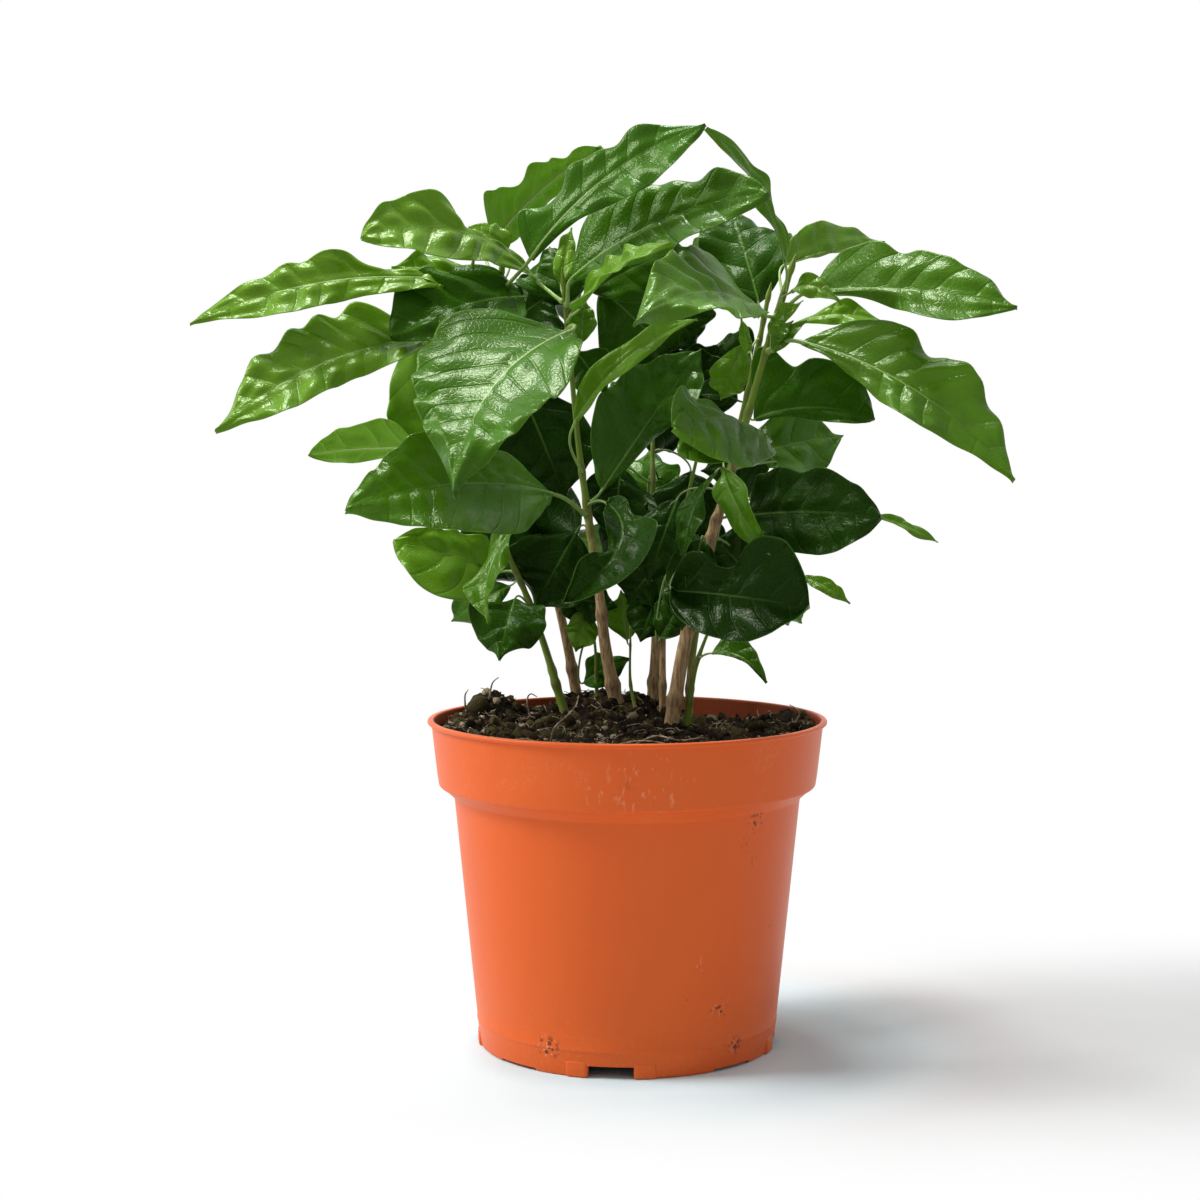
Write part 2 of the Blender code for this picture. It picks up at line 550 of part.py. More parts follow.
def make_leaf(name, leaf, collection, parent):
    """A grid of petiole and blade rows, bent to the leaf's shape and given its thickness."""
    rows = leaf_rows(leaf)
    columns = 2 * HALF_COLUMNS + 1
    form = bmesh.new()
    bmesh.ops.create_grid(form, x_segments=columns - 1, y_segments=len(rows) - 1, size=1.0)
    for vertex in form.verts:
        across = vertex.co.x
        centre, side, up, half, fold = rows[round((vertex.co.y + 1) / 2 * (len(rows) - 1))]
        spread = across * half
        vertex.co = (centre + side * spread * math.cos(fold) + up * abs(spread) * math.sin(fold)) * MM
    bmesh.ops.recalc_face_normals(form, faces=form.faces)
    mesh = bpy.data.meshes.new(name)
    form.to_mesh(mesh)
    form.free()
    mesh.shade_smooth()
    color = blend_colors(YOUNG_LEAF, OLD_LEAF, leaf.age)
    obj = add_object(name, mesh, collection, parent, new_material(f"{name}_green", color, 0.3))
    thickness = obj.modifiers.new("thickness", "SOLIDIFY")
    thickness.thickness = LEAF_THICKNESS * MM
    thickness.offset = 0.0
    return obj


def main():
    for obj in list(bpy.data.objects):
        bpy.data.objects.remove(obj, do_unlink=True)
    plant = new_collection("potted_coffee_plant")
    cutters = new_collection("cutters")
    axis = bpy.data.objects.new("pot_axis", None)
    plant.objects.link(axis)
    axis.location = Vector((*PLANT_SHIFT, 0)) * MM
    make_pot(plant, cutters, axis, new_material("terracotta_plastic", TERRACOTTA, 0.45))
    make_soil(plant, cutters, axis, new_material("peat", PEAT, 0.95))
    for name, stem in STEMS.items():
        make_stem(f"stem_{name}", stem, plant, axis)
    for name, leaf in LEAVES.items():
        make_leaf(f"leaf_{name}", leaf, plant, axis)


main()
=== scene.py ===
"""Looks of a potted coffee plant, laid out as a Blender add-on and run as a script.

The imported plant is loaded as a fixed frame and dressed: a turned nursery pot with its lip, collar
and notched foot, crumbly peat with clods and roots, stems with nodes and bark, and glossy coffee
leaves with veins, quilting and wavy margins. Lengths are in millimetres about the pot's axis, as
the plant was laid out, and are scaled by MM when a mesh is made.
"""

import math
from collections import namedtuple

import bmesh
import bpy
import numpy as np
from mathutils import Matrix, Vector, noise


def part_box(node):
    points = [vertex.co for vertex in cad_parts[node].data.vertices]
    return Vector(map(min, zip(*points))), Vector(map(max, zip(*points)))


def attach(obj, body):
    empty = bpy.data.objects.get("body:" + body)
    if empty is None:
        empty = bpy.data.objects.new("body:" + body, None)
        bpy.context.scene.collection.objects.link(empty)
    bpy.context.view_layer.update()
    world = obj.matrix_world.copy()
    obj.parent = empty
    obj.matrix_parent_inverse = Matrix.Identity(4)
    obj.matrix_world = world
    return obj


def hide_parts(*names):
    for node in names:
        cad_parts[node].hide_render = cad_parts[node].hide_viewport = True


bl_info = {
    "name": "Potted Coffee Plant",
    "version": (1, 0, 0),
    "blender": (4, 5, 0),
    "location": "3D View > Sidebar > Coffee Plant",
    "description": "Dresses the packed frame of a potted coffee plant with its looks",
    "category": "Object",
}

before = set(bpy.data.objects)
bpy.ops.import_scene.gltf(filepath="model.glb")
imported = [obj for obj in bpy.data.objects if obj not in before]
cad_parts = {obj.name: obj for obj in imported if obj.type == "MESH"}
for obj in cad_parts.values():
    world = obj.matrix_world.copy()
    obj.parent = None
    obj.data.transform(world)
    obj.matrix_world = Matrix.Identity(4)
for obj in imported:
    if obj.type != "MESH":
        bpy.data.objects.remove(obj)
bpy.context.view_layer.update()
POT_LOW, POT_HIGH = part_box("pot")
AXIS = Vector(((POT_LOW.x + POT_HIGH.x) / 2, (POT_LOW.y + POT_HIGH.y) / 2, 0))
MM = 0.001
POT_HEIGHT = POT_HIGH.z / MM
LIP_RADIUS = (POT_HIGH.x - POT_LOW.x) / 2 / MM

# ---- pot, in mm -------------------------------------------------------------------------------
COLLAR_TOP_RADIUS = 58.8
COLLAR_FOOT_RADIUS = 56.7
COLLAR_FOOT_Z = 78.5
COLLAR_START_Z = 80.3  # the collar's plain side, from above its rounded foot
COLLAR_END_Z = 95.6  # to under the lip
BODY_TOP_RADIUS = 52.0
BODY_TOP_Z = 75.2
BODY_END_Z = 73.2  # the end of the body's plain side, under the hollow below the collar
FOOT_RADIUS = 44.5
WALL = 1.1
FLOOR_Z = 4.2
NOTCH_BEARING = -6.0  # of the front notch, in degrees round from the front
NOTCH_COUNT = 4
LIP_BEAD = 1.25
SEAM_Z = 7.8  # of the mould's parting line above the foot
SEAM_RISE = 0.17
POT_SEGMENTS = 144
NOTCH = (14.5, 6, 7.2)  # width, depth and height of a cutter, half of which is under the foot
RELIEF = (15, 6, 2.4)  # the shallow rise of the foot between two notches
RELIEF_TURN = 50  # degrees from a notch to its relief
PAD = (6.5, 2.4, 4.8)  # of a swelling at the foot beside a notch
PAD_TURN = 12.8  # degrees from a notch to the pads beside it
DRAIN_COUNT = 6
DRAIN_RADIUS = 3.5
DRAIN_BEARING = 98.0  # of the first hole, in degrees round from the front
DRAIN_RING_RADIUS = 34.0
SHARP_EDGE = 38  # degrees between faces from which on their edge is not smoothed
# Painted shade on the lowest inside faces and under the pot's floor.
UNDERSIDE_SHADE = (0.004, 0.003, 0.002)
# Splashes on the outside: bearing from the front in degrees, height, reach, and whether it is dark.
SPLASHES = (
    (-30, 8, 6, True),
    (35, 19, 6, True),
    (46, 73, 6, True),
    (4, 87, 15, False),
    (14, 85, 9, False),
    (44, 7, 5, True),
    (26, 33, 6, False),
    (-8, 84, 7, False),
    (37, 21, 4, False),
)

# ---- soil -------------------------------------------------------------------------------------
SOIL_LEVEL = 92.9
# Mounds and hollows in the soil's surface: x, y, height, radius.
SOIL_MOUNDS = (
    (0, 24, 4.6, 30),
    (-45, 31, 9.0, 11),
    (-16, 40, 5.0, 12),
    (50, 8, 5.6, 12),
    (-52, 4, 3.0, 13),
    (24, 46, -6.5, 15),
    (-30, 48, -5.0, 8),
    (12, -4, 2.0, 12),
    (3, 30, 4.5, 12),
)
SOIL_RIPPLE_HEIGHT = 0.45
SOIL_RIPPLE_LENGTH = 16.0
SOIL_RINGS = 84
SOIL_SEGMENTS = 168
SOIL_EDGE = 56.3  # the radius at its surface
SOIL_SIDE = ((SOIL_EDGE, SOIL_LEVEL), (55.2, 79.8), (50.6, 76.4), (43.6, 7.2), (42.1, 5.7), (0, 5.7))
CRUMB_EDGE = 57.2  # no crumb reaches further from the axis
CRUMB_SIZES = (0.35, 2.0)
CLOD_SIZES = (1.5, 4.4)
CLOD_SHARE = 0.09  # clods for each crumb
FIBRES = {"Density": 0.028, "Length": 7.0, "Radius": 0.11, "Seed": 3}
ROOT_RADII = (0.34, 0.14)  # at its foot and its end
ROOT_ROWS = 18
ROOT_SIDES = 6
# Bare roots, as paths.
ROOTS = (
    ((-22, -30, 95), (-21, -30, 99), (-18, -30, 102), (-15, -28, 105), (-14, -26, 108)),
    ((-8, -44, 93.5), (-2, -42, 96), (5, -42, 97), (12, -43, 96), (16, -45, 94)),
    ((2, -37, 95), (8, -39, 98), (15, -41, 97), (22, -40, 97.5), (27, -38, 94)),
    ((-50, 18, 99), (-50, 17, 103), (-49, 17, 105)),
    ((-43, 24, 101), (-42, 24, 106), (-40, 24, 108)),
    ((50, 4, 95), (52, 3, 99), (51, 2, 101), (49, 3, 102)),
    ((-36, -38, 94), (-32, -40, 97), (-27, -41, 97), (-22, -42, 94)),
    ((-30, 20, 96), (-31, 21, 101), (-30, 22, 103), (-28, 23, 102)),
)

# ---- stems ------------------------------------------------------------------------------------
# points: along the stem from where it leaves the soil.  wood: 0 for green to 1 for brown bark.
STEM_SAMPLES = 14
SOCKET_DEPTH = 20.0  # of a stem below the soil
STEM_ROWS = 110
STEM_SIDES = 20
# slender: the share of its radius that a stem's top loses.
SLENDER = {"main_left": 0.6, "main_right": 0.25, "right_second": 0.2}
USUAL_SLENDER = 0.4
BUD_LENGTH = 7.5
BUD = ((0.12, 0.95), (0.3, 1.25), (0.5, 1.2), (0.72, 0.75), (0.9, 0.35), (1.0, 0.08))  # along, thickness
INTERNODE = 22.0  # between nodes below the lowest leaf
NODE_LENGTH = 1.7
NODE_SWELLING = 0.28
WOODY = 0.45  # from here on a stem counts as bark
Stem = namedtuple("Stem", "foot_radius top_radius wood points")
MAIN_LEFT = (
    (-2.6, 22, 97), (-6.6, 20, 117), (-8.7, 17, 136), (-12, 14, 159),
    (-15, 11, 182), (-18, 6, 215), (-19, 5, 226),
)
LEFT_OLIVE = (
    (-19.5, 24, 97), (-22.5, 24, 107), (-25.5, 24, 117),
    (-30.5, 22, 132), (-36, 20, 145), (-40, 18, 158),
)
LEFT_CROWN = (
    (-16, 41, 100), (-19, 39, 117), (-23, 38, 134), (-30, 36, 158),
    (-36, 29, 190), (-39, 17, 215), (-38, 9, 230),
)
LEFT_SIDE = (
    (-21, 34, 100), (-26, 33, 117), (-32, 31, 134), (-40, 27, 155),
    (-48, 18, 182), (-51, 10, 205), (-47, 5, 230),
)
SEEDLING_LEFT = ((-9.5, 33, 100), (-10, 32, 116), (-12, 31, 130))
SEEDLING_MIDDLE = ((3, 17, 97), (1, 20, 107), (1, 23, 120))
MIDDLE = (
    (8, 30, 97), (9, 30, 113), (9, 30, 126), (8, 32, 144),
    (8, 37, 163), (8, 44, 190), (8, 50, 216),
)
MIDDLE_SECOND = ((11, 17, 97), (11, 18, 120), (12, 20, 136), (17, 24, 157), (23, 28, 182))
MAIN_RIGHT = (
    (13, -3, 95), (17, -3, 120), (22, -2, 139), (25, -1, 153),
    (29, 0, 165), (35, 2, 186), (41, 3, 207), (48, 3, 230),
)
FRONT_RIGHT = ((18, -2, 95), (19, -3, 106), (21, -4, 116), (25, -5, 127))
RIGHT_SECOND = (
    (19, 20, 96), (20, 20, 114), (23, 19, 133), (28, 17, 157),
    (34, 15, 185), (39, 13, 207), (42, 13, 222),
)
STEMS = {
    "main_left": Stem(2.4, 1.2, 0.75, MAIN_LEFT),
    "left_olive": Stem(1.5, 1.1, 0.2, LEFT_OLIVE),
    "left_crown": Stem(1.8, 1.1, 0.7, LEFT_CROWN),
    "left_side": Stem(1.3, 0.9, 0.5, LEFT_SIDE),
    "seedling_left": Stem(0.7, 0.5, 0.2, SEEDLING_LEFT),
    "seedling_middle": Stem(0.7, 0.5, 0.4, SEEDLING_MIDDLE),
    "middle": Stem(2.3, 0.6, 0.72, MIDDLE),
    "middle_second": Stem(1.2, 0.8, 0.8, MIDDLE_SECOND),
    "main_right": Stem(2.3, 1.1, 0.9, MAIN_RIGHT),
    "front_right": Stem(1.3, 0.7, 0.1, FRONT_RIGHT),
    "right_second": Stem(1.3, 0.9, 0.4, RIGHT_SECOND),
}

# ---- leaves -----------------------------------------------------------------------------------
# height: where the petiole leaves its stem.  base, tip: ends of the blade's midrib.
# width: of the blade.  belly: where it is widest, from 0 at the base to 1 at the tip.
# arch: how far the midrib bows towards the upper face, and sweep: how far it bows sideways.
# tilt: turns the upper face from the sky (0) to the front (90) or, below zero, to the back.
# age: 0 for a young bright leaf to 1 for an old dark one, raised also as painted shade on leaves
# inside the clump and on the right, away from the key light.  lean: turns it about the midrib.
# fold: how far each half rises.  Tilt, lean and fold are in degrees.  cup: how far the margins
# rise, as a share of the half width.  quilt: how far the blade swells between its veins.
# What a row leaves out is as on a leaf in the shade of the clump, dark in colour as painted shade.
Leaf = namedtuple(
    "Leaf",
    "stem height base tip width belly arch sweep tilt age lean fold cup quilt",
    defaults=(0.48, 3, 0, 78, 1.0, 0, 8, -0.12, 0.8),
)
LEAVES = {
    "crown_left": Leaf(
        "main_left", 223, (-27, 12, 230), (-76, -26, 240), 26, 0.62, 6, 6, 58, 0.05, quilt=1.8,
    ),
    "top": Leaf("left_crown", 226, (-29, -7, 235), (22, -24, 272), 26, 0.48, 3, -4, 60, 0.5, fold=10),
    "top_second": Leaf("main_left", 222, (-17, 2, 230), (40, -28, 252), 29, 0.5, 4, -3, 60, 0.4),
    "crown_narrow": Leaf(
        "main_left", 217, (-14, -11, 221), (12, -44, 237), 16, 0.5, 3, 0, 48, 0.1, fold=20,
    ),
    "top_back": Leaf("left_crown", 228, (-43, 25, 241), (-9, 62, 276), 25, 0.42, 3, 0, -50, 0.1, fold=10),
    "left_upper": Leaf(
        "left_side", 227, (-51, 0, 229), (-124, -34, 215), 20, 0.48, 4, 4, 58, 0.05, quilt=1.5,
    ),
    "left_middle": Leaf(
        "left_side", 208, (-60, -4, 212), (-114, -52, 185), 27, 0.5, 3, 4, 60, 0.1, quilt=1.6,
    ),
    "left_quilted": Leaf(
        "left_crown", 218, (-31, 8, 225), (-69, -16, 212), 30, 0.5, 4, 0, 55, 0.7, quilt=1.7,
    ),
    "left_backlit": Leaf(
        "left_crown", 203, (-64, 38, 214), (-63, 50, 178), 25, 0.45, 2, 0, 70, 0.2, fold=10,
    ),
    "left_lower": Leaf(
        "main_left", 159, (-22, 2, 166), (-78, -50, 163), 33, 0.48, 4, 3, 62, 0.34, quilt=0.7,
    ),
    "left_pale": Leaf("left_crown", 183, (-65, 32, 179), (-101, 42, 177), 17, 0.5, 2, 0, -60, 0.1, fold=10),
    "left_olive": Leaf("left_olive", 141, (-41, 22, 141), (-70, 0, 152), 27, 0.5, 5, -2, 60, 0.15),
    "left_hanging": Leaf(
        "left_olive", 154, (-34, -6, 156), (-41, -16, 128), 15, 0.45, 2, 3, 35, 0.3, lean=40, fold=20,
    ),
    "left_pointed": Leaf(
        "left_olive", 138, (-37, 32, 136), (-56, 42, 124), 13, 0.5, 2, 0, 70, 0.4, fold=10,
    ),
    "left_low": Leaf("left_olive", 130, (-34, 9, 134), (-38, -10, 117), 23, 0.45, 2, 0, 60, 0.8),
    "front_big": Leaf(
        "main_left", 214, (-17, -12, 214), (-47, -70, 168), 42, 0.42, 5, 6.5, 30, 0.42, quilt=0.6,
    ),
    "front_right": Leaf(
        "main_left", 172, (-16, -4, 187), (20, -16, 217), 15, 0.32, 2, -4, 45, 0.12, fold=24, quilt=0.6,
    ),
    "centre_dark": Leaf(
        "main_left", 162, (-8, 23, 166), (23, 34, 210), 32, 0.45, 4, 0, 80, 0.62, quilt=1.4,
    ),
    "centre_curled": Leaf(
        "main_left", 162, (-6, 5, 163), (-18, -30, 135), 24, 0.5, 5, -10, 40, 0.85, cup=0.12,
    ),
    "centre_shade": Leaf("main_left", 154, (-16, 27, 153), (-29, 25, 129), 28, 0.48, 2),
    "back_upper": Leaf("main_left", 218, (-8, 28, 228), (15, 44, 206), 32, 0.45, 3, 0, 74, 0.7),
    "back_left": Leaf("left_crown", 215, (-31, 30, 219), (-22, 68, 226), 22, 0.45, 3, 0, 20, 0.8),
    "mid_hanging": Leaf(
        "main_right", 168, (26, -9, 173), (17, -20, 139), 12, 0.5, 3, 2, 30, 0.8, lean=50, fold=15,
    ),
    "right_backlit": Leaf(
        "right_second", 205, (36, 22, 211), (29, 32, 194), 12, 0.5, 2, 0, 75, 0.2, fold=10,
    ),
    "right_upright": Leaf(
        "main_right", 226, (47, -3, 234), (23, -16, 272), 15, 0.45, 2, 4, 60, 0.3, lean=30, fold=15,
    ),
    "right_back": Leaf("right_second", 218, (40, 20, 224), (32, 46, 255), 27, 0.45, 3, 0, 80, 0.8),
    "right_arching": Leaf(
        "main_right", 217, (40, -10, 219), (2, -62, 214), 30, 0.52, 6, 4, 56, 0.3, quilt=1.4,
    ),
    "right_far": Leaf("main_right", 224, (48, 14, 235), (81, 44, 244), 15, 0.4, 2, 0, 70, 0.2, fold=9),
    "right_upper": Leaf("main_right", 220, (54, 0, 226), (111, -28, 220), 28, 0.42, 4, 0, 58, 0.35),
    "right_edge": Leaf("right_second", 209, (50, 12, 217), (80, 8, 216), 8, 0.5, 4, 0, 45, 0.0, fold=10),
    "right_outer": Leaf(
        "main_right", 208, (51, -8, 211), (109, -40, 171), 27, 0.45, 3, -5, 55, 0.28, quilt=1.4,
    ),
    "right_shade": Leaf("main_right", 190, (38, 10, 188), (74, 2, 188), 28, 0.5, 6, -2, 75, 0.68),
    "right_low_back": Leaf(
        "right_second", 178, (34, 28, 176), (69, 50, 183), 24, 0.55, 2, 0, 70, 0.4, fold=10,
    ),
    "right_folded": Leaf(
        "main_right", 184, (42, -14, 182), (13, -54, 186), 30, 0.6, 4, 2, 62, 0.35, quilt=1.2,
    ),
    "right_hanging": Leaf(
        "main_right", 176, (28, -9, 174), (41, -30, 149), 13, 0.5, 3, 0, 30, 0.3, lean=60, fold=20,
    ),
    "right_big": Leaf("main_right", 158, (35, 5, 159), (73, -24, 160), 36, 0.45, 4, 0, 74, 0.9),
    "right_narrow": Leaf("right_second", 160, (79, 42, 158), (99, 46, 149), 5, 0.5, 1, 0, 50, 0.2, fold=15),
    "low_left": Leaf("main_right", 150, (22, -8, 153), (16, -14, 126), 18, 0.5, 2, 0, 80, 0.9),
    "low_round": Leaf("main_right", 148, (14, -18, 138), (52, -34, 134), 38, 0.45, 2, 0, 66, cup=0.16),
    "low_back": Leaf("right_second", 141, (41, 25, 141), (55, 35, 124), 15, 0.5, 2, 0, 60, 0.3, fold=10),
    "right_pointed": Leaf(
        "front_right", 117, (25, -8, 119), (41, -18, 111), 11, 0.4, 3, -2, 60, 0.4, fold=10,
    ),
    "middle_olive": Leaf(
        "seedling_middle", 118, (0, 29, 119), (-2, 27, 135), 12, 0.5, 2, 0, -80, 0.3, fold=9,
    ),
    "rear_left": Leaf("left_crown", 186, (-34, 44, 188), (-37, 88, 168), 29, 0.48, 5, 0, 0, 0.7),
    "rear_right": Leaf("right_second", 168, (38, 30, 166), (70, 74, 152), 27, 0.48, 5, 0, 10, 0.7),
    "rear_top": Leaf("middle", 211, (12, 58, 224), (32, 90, 246), 27, 0.48, 4, 0, -40, 0.4),
    "rear_middle": Leaf("middle", 192, (9, 58, 195), (8, 97, 184), 28, 0.48, 6, 0, 0, 0.6),
    "rear_low": Leaf("left_crown", 152, (-22, 48, 151), (-14, 90, 136), 27, 0.48, 5, 0, 0, 0.9),
    "low_striped": Leaf(
        "right_second", 146, (54, 18, 140), (68, 12, 132), 5, 0.45, 2, 0, 40, 0.1, lean=20, fold=12,
    ),
    "back_olive": Leaf("middle", 170, (7, 40, 160), (8, 58, 179), 18, 0.5, 2, 0, 70, 0.5),
    "centre_back": Leaf("middle", 172, (10, 46, 165), (3, 44, 131), 34),
    "centre_back_right": Leaf("middle", 168, (13, 50, 162), (20, 46, 130), 30),
    "shade_upper": Leaf("left_crown", 205, (-33, 30, 197), (-19, 30, 163), 34, tilt=76),
    "shade_lower": Leaf("left_crown", 165, (-26, 40, 177), (-37, 40, 144), 34, 0.45, 3, 0, 76),
    "shade_left": Leaf("left_crown", 170, (-31, 36, 163), (-47, 34, 135), 30, tilt=76),
    "middle_low": Leaf("middle_second", 140, (10, 12, 121), (19, 18, 135), 14, 0.5, 2, 0, 70, 0.8),
    "seedling_low": Leaf("seedling_left", 130, (-12, 28, 128), (-16, 24, 116), 11, 0.5, 2, 0, 70, 0.2),
    "back_right": Leaf("right_second", 205, (35, 40, 194), (10, 44, 203), 24),
    "back_mid": Leaf("middle", 205, (7, 52, 197), (27, 52, 182), 30),
    "left_young": Leaf("left_side", 222, (-44, 6, 228), (-70, -2, 233), 13, 0.45, 3, 0, 55, 0.05, fold=12),
    "top_tip": Leaf(
        "left_crown", 229, (-36, 14, 239), (-48, 12, 246), 11, 0.45, 2, 0, 60, 0.0, fold=12, quilt=0.3,
    ),
    "crown_young": Leaf(
        "main_left", 225, (-20, 8, 229), (-17, 16, 246), 7, 0.35, 1, 0, 60, 0.0, fold=16, quilt=0.2,
    ),
    "crown_back": Leaf("main_left", 221, (-19, 16, 223), (-24, 26, 241), 24, 0.45, 2, 0, 75, 0.75),
    "right_curl": Leaf("main_right", 222, (47, -14, 225), (62, -20, 221), 8, 0.5, 5, 0, 55, 0.1, fold=12),
    "mid_shade": Leaf("middle", 200, (23, 40, 186), (13, 44, 212), 25),
    "crown_shade": Leaf("left_crown", 216, (-37, 14, 215), (-21, 20, 227), 26, 0.48, 3, 0, 70, 0.9),
    "gap_low": Leaf("middle", 168, (-2, 36, 173), (-4, 34, 152), 24, 0.5),
    "gap_right": Leaf("middle", 178, (20, 38, 172), (18, 36, 149), 24),
    "front_shade": Leaf("main_right", 166, (15, 8, 164), (6, 2, 138), 20, 0.48, 3, 0, 70, 0.95),
    "crown_fill": Leaf("right_second", 196, (39, 40, 198), (20, 44, 210), 24, 0.48, 3, 0, 74, 0.9),
    "low_fill": Leaf("middle_second", 150, (11, 24, 145), (0, 20, 131), 24, 0.48, 3, 0, 70, 0.95),
    "mid_fill": Leaf("middle", 212, (12, 46, 226), (22, 46, 210), 20, age=0.85),
    "centre_small": Leaf("main_left", 204, (-16, 18, 209), (-7, 22, 196), 15, age=0.75),
    "crown_top_shade": Leaf("main_left", 221, (-11, 20, 227), (19, 26, 241), 24, 0.48, 3, 0, 70, 0.72),
    "right_fill": Leaf("right_second", 172, (45, 30, 175), (23, 34, 172), 22, 0.48, 3, 0, 74, 0.95),
    "low_centre": Leaf("middle_second", 140, (9, 22, 133), (4, 14, 120), 15, 0.48, 2, 0, 70, 0.9),
    "low_left_fill": Leaf("left_crown", 138, (-22, 32, 132), (-3, 26, 130), 17, 0.5, 2, 0, 70, 0.9),
    "seedling_leaf": Leaf("seedling_left", 121, (-14, 36, 105), (1, 34, 113), 11, 0.45, 2, 0, 60, 0.7),
    "shoot_first": Leaf("right_second", 212, (36, 6, 208), (34, 4, 218), 4, 0.4, 1, 0, 70, 0.15, fold=14),
    "shoot_second": Leaf("main_right", 213, (43, -2, 210), (49, -4, 217), 5, 0.4, 2, 0, 60, 0.25, fold=14),
    "notch_fill": Leaf("main_right", 152, (39, 6, 138), (25, 4, 153), 27, 0.5, 3, 0, 72, 0.95),
    "folded_lobe": Leaf("main_right", 184, (36, -34, 180), (14, -53, 179), 13, 0.6, 2, 0, 66, 0.3, fold=6),
    "shoot_third": Leaf("main_right", 215, (43, -2, 208), (53, -4, 217), 5, 0.4, 2, 0, 60, 0.3, fold=14),
    "shoot_fourth": Leaf("main_right", 219, (42, 0, 214), (52, -2, 223), 5, 0.4, 2, 0, 60, 0.15, fold=14),
    "crown_strip": Leaf("main_left", 216, (-14, 16, 211), (-13, 14, 225), 8, 0.45, 2, 0, 70, 0.3, fold=10),
}
# From base to tip at every tenth, how far a blade reaches from its midrib on the one side and on
# the other, for the leaves whose margins show.
MARGINS = {
    "crown_left": (
        (3.5, 6, 7.5, 10.5, 11.5, 12.5, 13, 12, 8.8),
        (3, 3.4, 3.8, 3.8, 8.2, 11.2, 10.6, 9.5, 7),
    ),
    "top": ((12.5, 8, 7, 11, 9.5, 6.6, 9.3, 6.3, 3), (1.5, 2.5, 5.7, 6.8, 8.8, 12.5, 11, 11.3, 6.5)),
    "top_second": ((12, 16, 15, 15.5, 13.2, 11.5, 10.5, 10.5, 7.5), (5, 9, 10.5, 10.5, 11, 12, 12.5, 9, 6)),
    "crown_narrow": ((3, 5, 5, 7, 5, 6, 4, 3, 1.5), (8, 9, 7.5, 5.5, 6, 4, 4, 2.5, 1)),
    "top_back": ((8, 9, 9, 9, 9, 8, 7, 5, 3), (15.5, 13, 9.7, 8.2, 10.3, 9, 5.6, 5, 3.6)),
    "left_upper": ((5, 6.2, 7, 6.3, 7.2, 10, 10.3, 6.6, 3), (3.8, 4, 5, 9.8, 8.8, 8.1, 6.6, 5.2, 3.2)),
    "left_middle": (
        (7, 9.8, 7.8, 7, 8, 9.8, 10.4, 9.5, 3.6),
        (11.5, 16, 13.5, 15, 13.5, 11.5, 11.2, 6.4, 2),
    ),
    "left_quilted": ((9, 12, 14, 14.5, 14.5, 13.5, 12, 9, 5), (8, 12, 14.5, 16, 16.5, 16.5, 15.5, 13, 8)),
    "left_lower": ((8, 14.5, 19, 22, 23, 22, 18.5, 13, 5), (6, 10, 13, 15, 18, 16.8, 14.3, 9.8, 6.2)),
    "left_pale": ((5, 8.5, 9.5, 9.5, 9, 8, 7, 5.7, 3.6), (2, 3, 3.5, 5.2, 5, 5, 5.2, 6, 3)),
    "left_olive": ((6, 10, 13.5, 15, 16, 17, 17, 15, 10), (5, 8, 9, 9, 9, 8, 8, 6, 4)),
    "front_big": ((12, 17, 18.3, 20, 20.5, 21, 16, 11.7, 3), (18, 25, 27, 25.5, 24, 20, 15, 7.5, 2.8)),
    "front_right": ((3, 5, 6, 5.5, 5, 4.5, 4, 3.5, 2), (3, 6.5, 8.5, 8.5, 7, 5.5, 4, 3, 1.5)),
    "centre_dark": ((7, 12, 15, 16.5, 16.5, 15, 12.5, 9, 5), (2, 3, 3.4, 3.8, 6, 8.5, 9, 8, 4.5)),
    "centre_curled": ((3.5, 3.8, 7.3, 10.5, 10.7, 9.8, 10, 9.6, 5), (3, 5, 6.3, 5, 3.2, 3.2, 5, 6, 3.5)),
    "right_upright": ((3, 4, 3, 2, 3, 4.5, 4.5, 4, 1.5), (3, 3.5, 2.5, 4, 5, 4, 4, 3.2, 1.8)),
    "right_arching": ((6, 11, 14, 15, 15, 14, 11, 3.5, 1), (10, 17, 18, 17, 15, 14.7, 10.2, 6, 2.8)),
    "right_far": ((6.5, 8, 10, 10, 9, 8, 6.5, 4.5, 2), (0.6, 0.6, 0.6, 0.6, 0.6, 0.6, 0.6, 0.5, 0.4)),
    "right_upper": ((13.5, 16, 16, 14, 14, 14, 10.4, 9.8, 5), (2.5, 2.6, 2.4, 3.4, 8, 10.4, 12.9, 10, 5)),
    "right_outer": (
        (9.3, 13.4, 16.5, 14.2, 14, 17, 11, 9.2, 4),
        (2.7, 4, 5.8, 9, 12.8, 12.4, 6.8, 4.6, 1.6),
    ),
    "right_shade": ((21, 21, 15, 12.5, 14.5, 15, 14.5, 12.5, 9), (1.5, 1.8, 2, 2.4, 3.2, 4.2, 4.4, 4.4, 3)),
    "right_folded": ((7, 10.5, 13, 15, 17, 18.5, 19, 19.5, 18), (1.5, 0.8, 0.6, 0.8, 3, 7, 8.5, 10.5, 9)),
    "right_big": (
        (12, 12.5, 13.3, 13.3, 13.5, 13.4, 12.2, 9.6, 6.8),
        (8, 10, 11.2, 12.4, 12.4, 13, 14, 12, 9),
    ),
    "low_round": (
        (8.5, 10.5, 7.2, 8.6, 14, 17, 17, 15, 10.5),
        (9, 12.5, 14.5, 15.5, 15.8, 16.2, 15.8, 14, 9.5),
    ),
    "right_pointed": ((4, 6, 6.5, 6, 5, 4, 3, 2, 1), (1, 1, 1.2, 1.2, 1, 1, 0.8, 0.6, 0.4)),
    "folded_lobe": ((2, 3, 4, 4.5, 5, 5.5, 6, 6, 5), (3, 5, 6, 6, 6, 6, 6, 6, 5)),
}
MARGIN_BLUR = (0.12, 0.22, 0.32, 0.22, 0.12)  # evens out a margin's waves
MARGIN_EASE = 0.12  # how much of each neighbour a station takes up
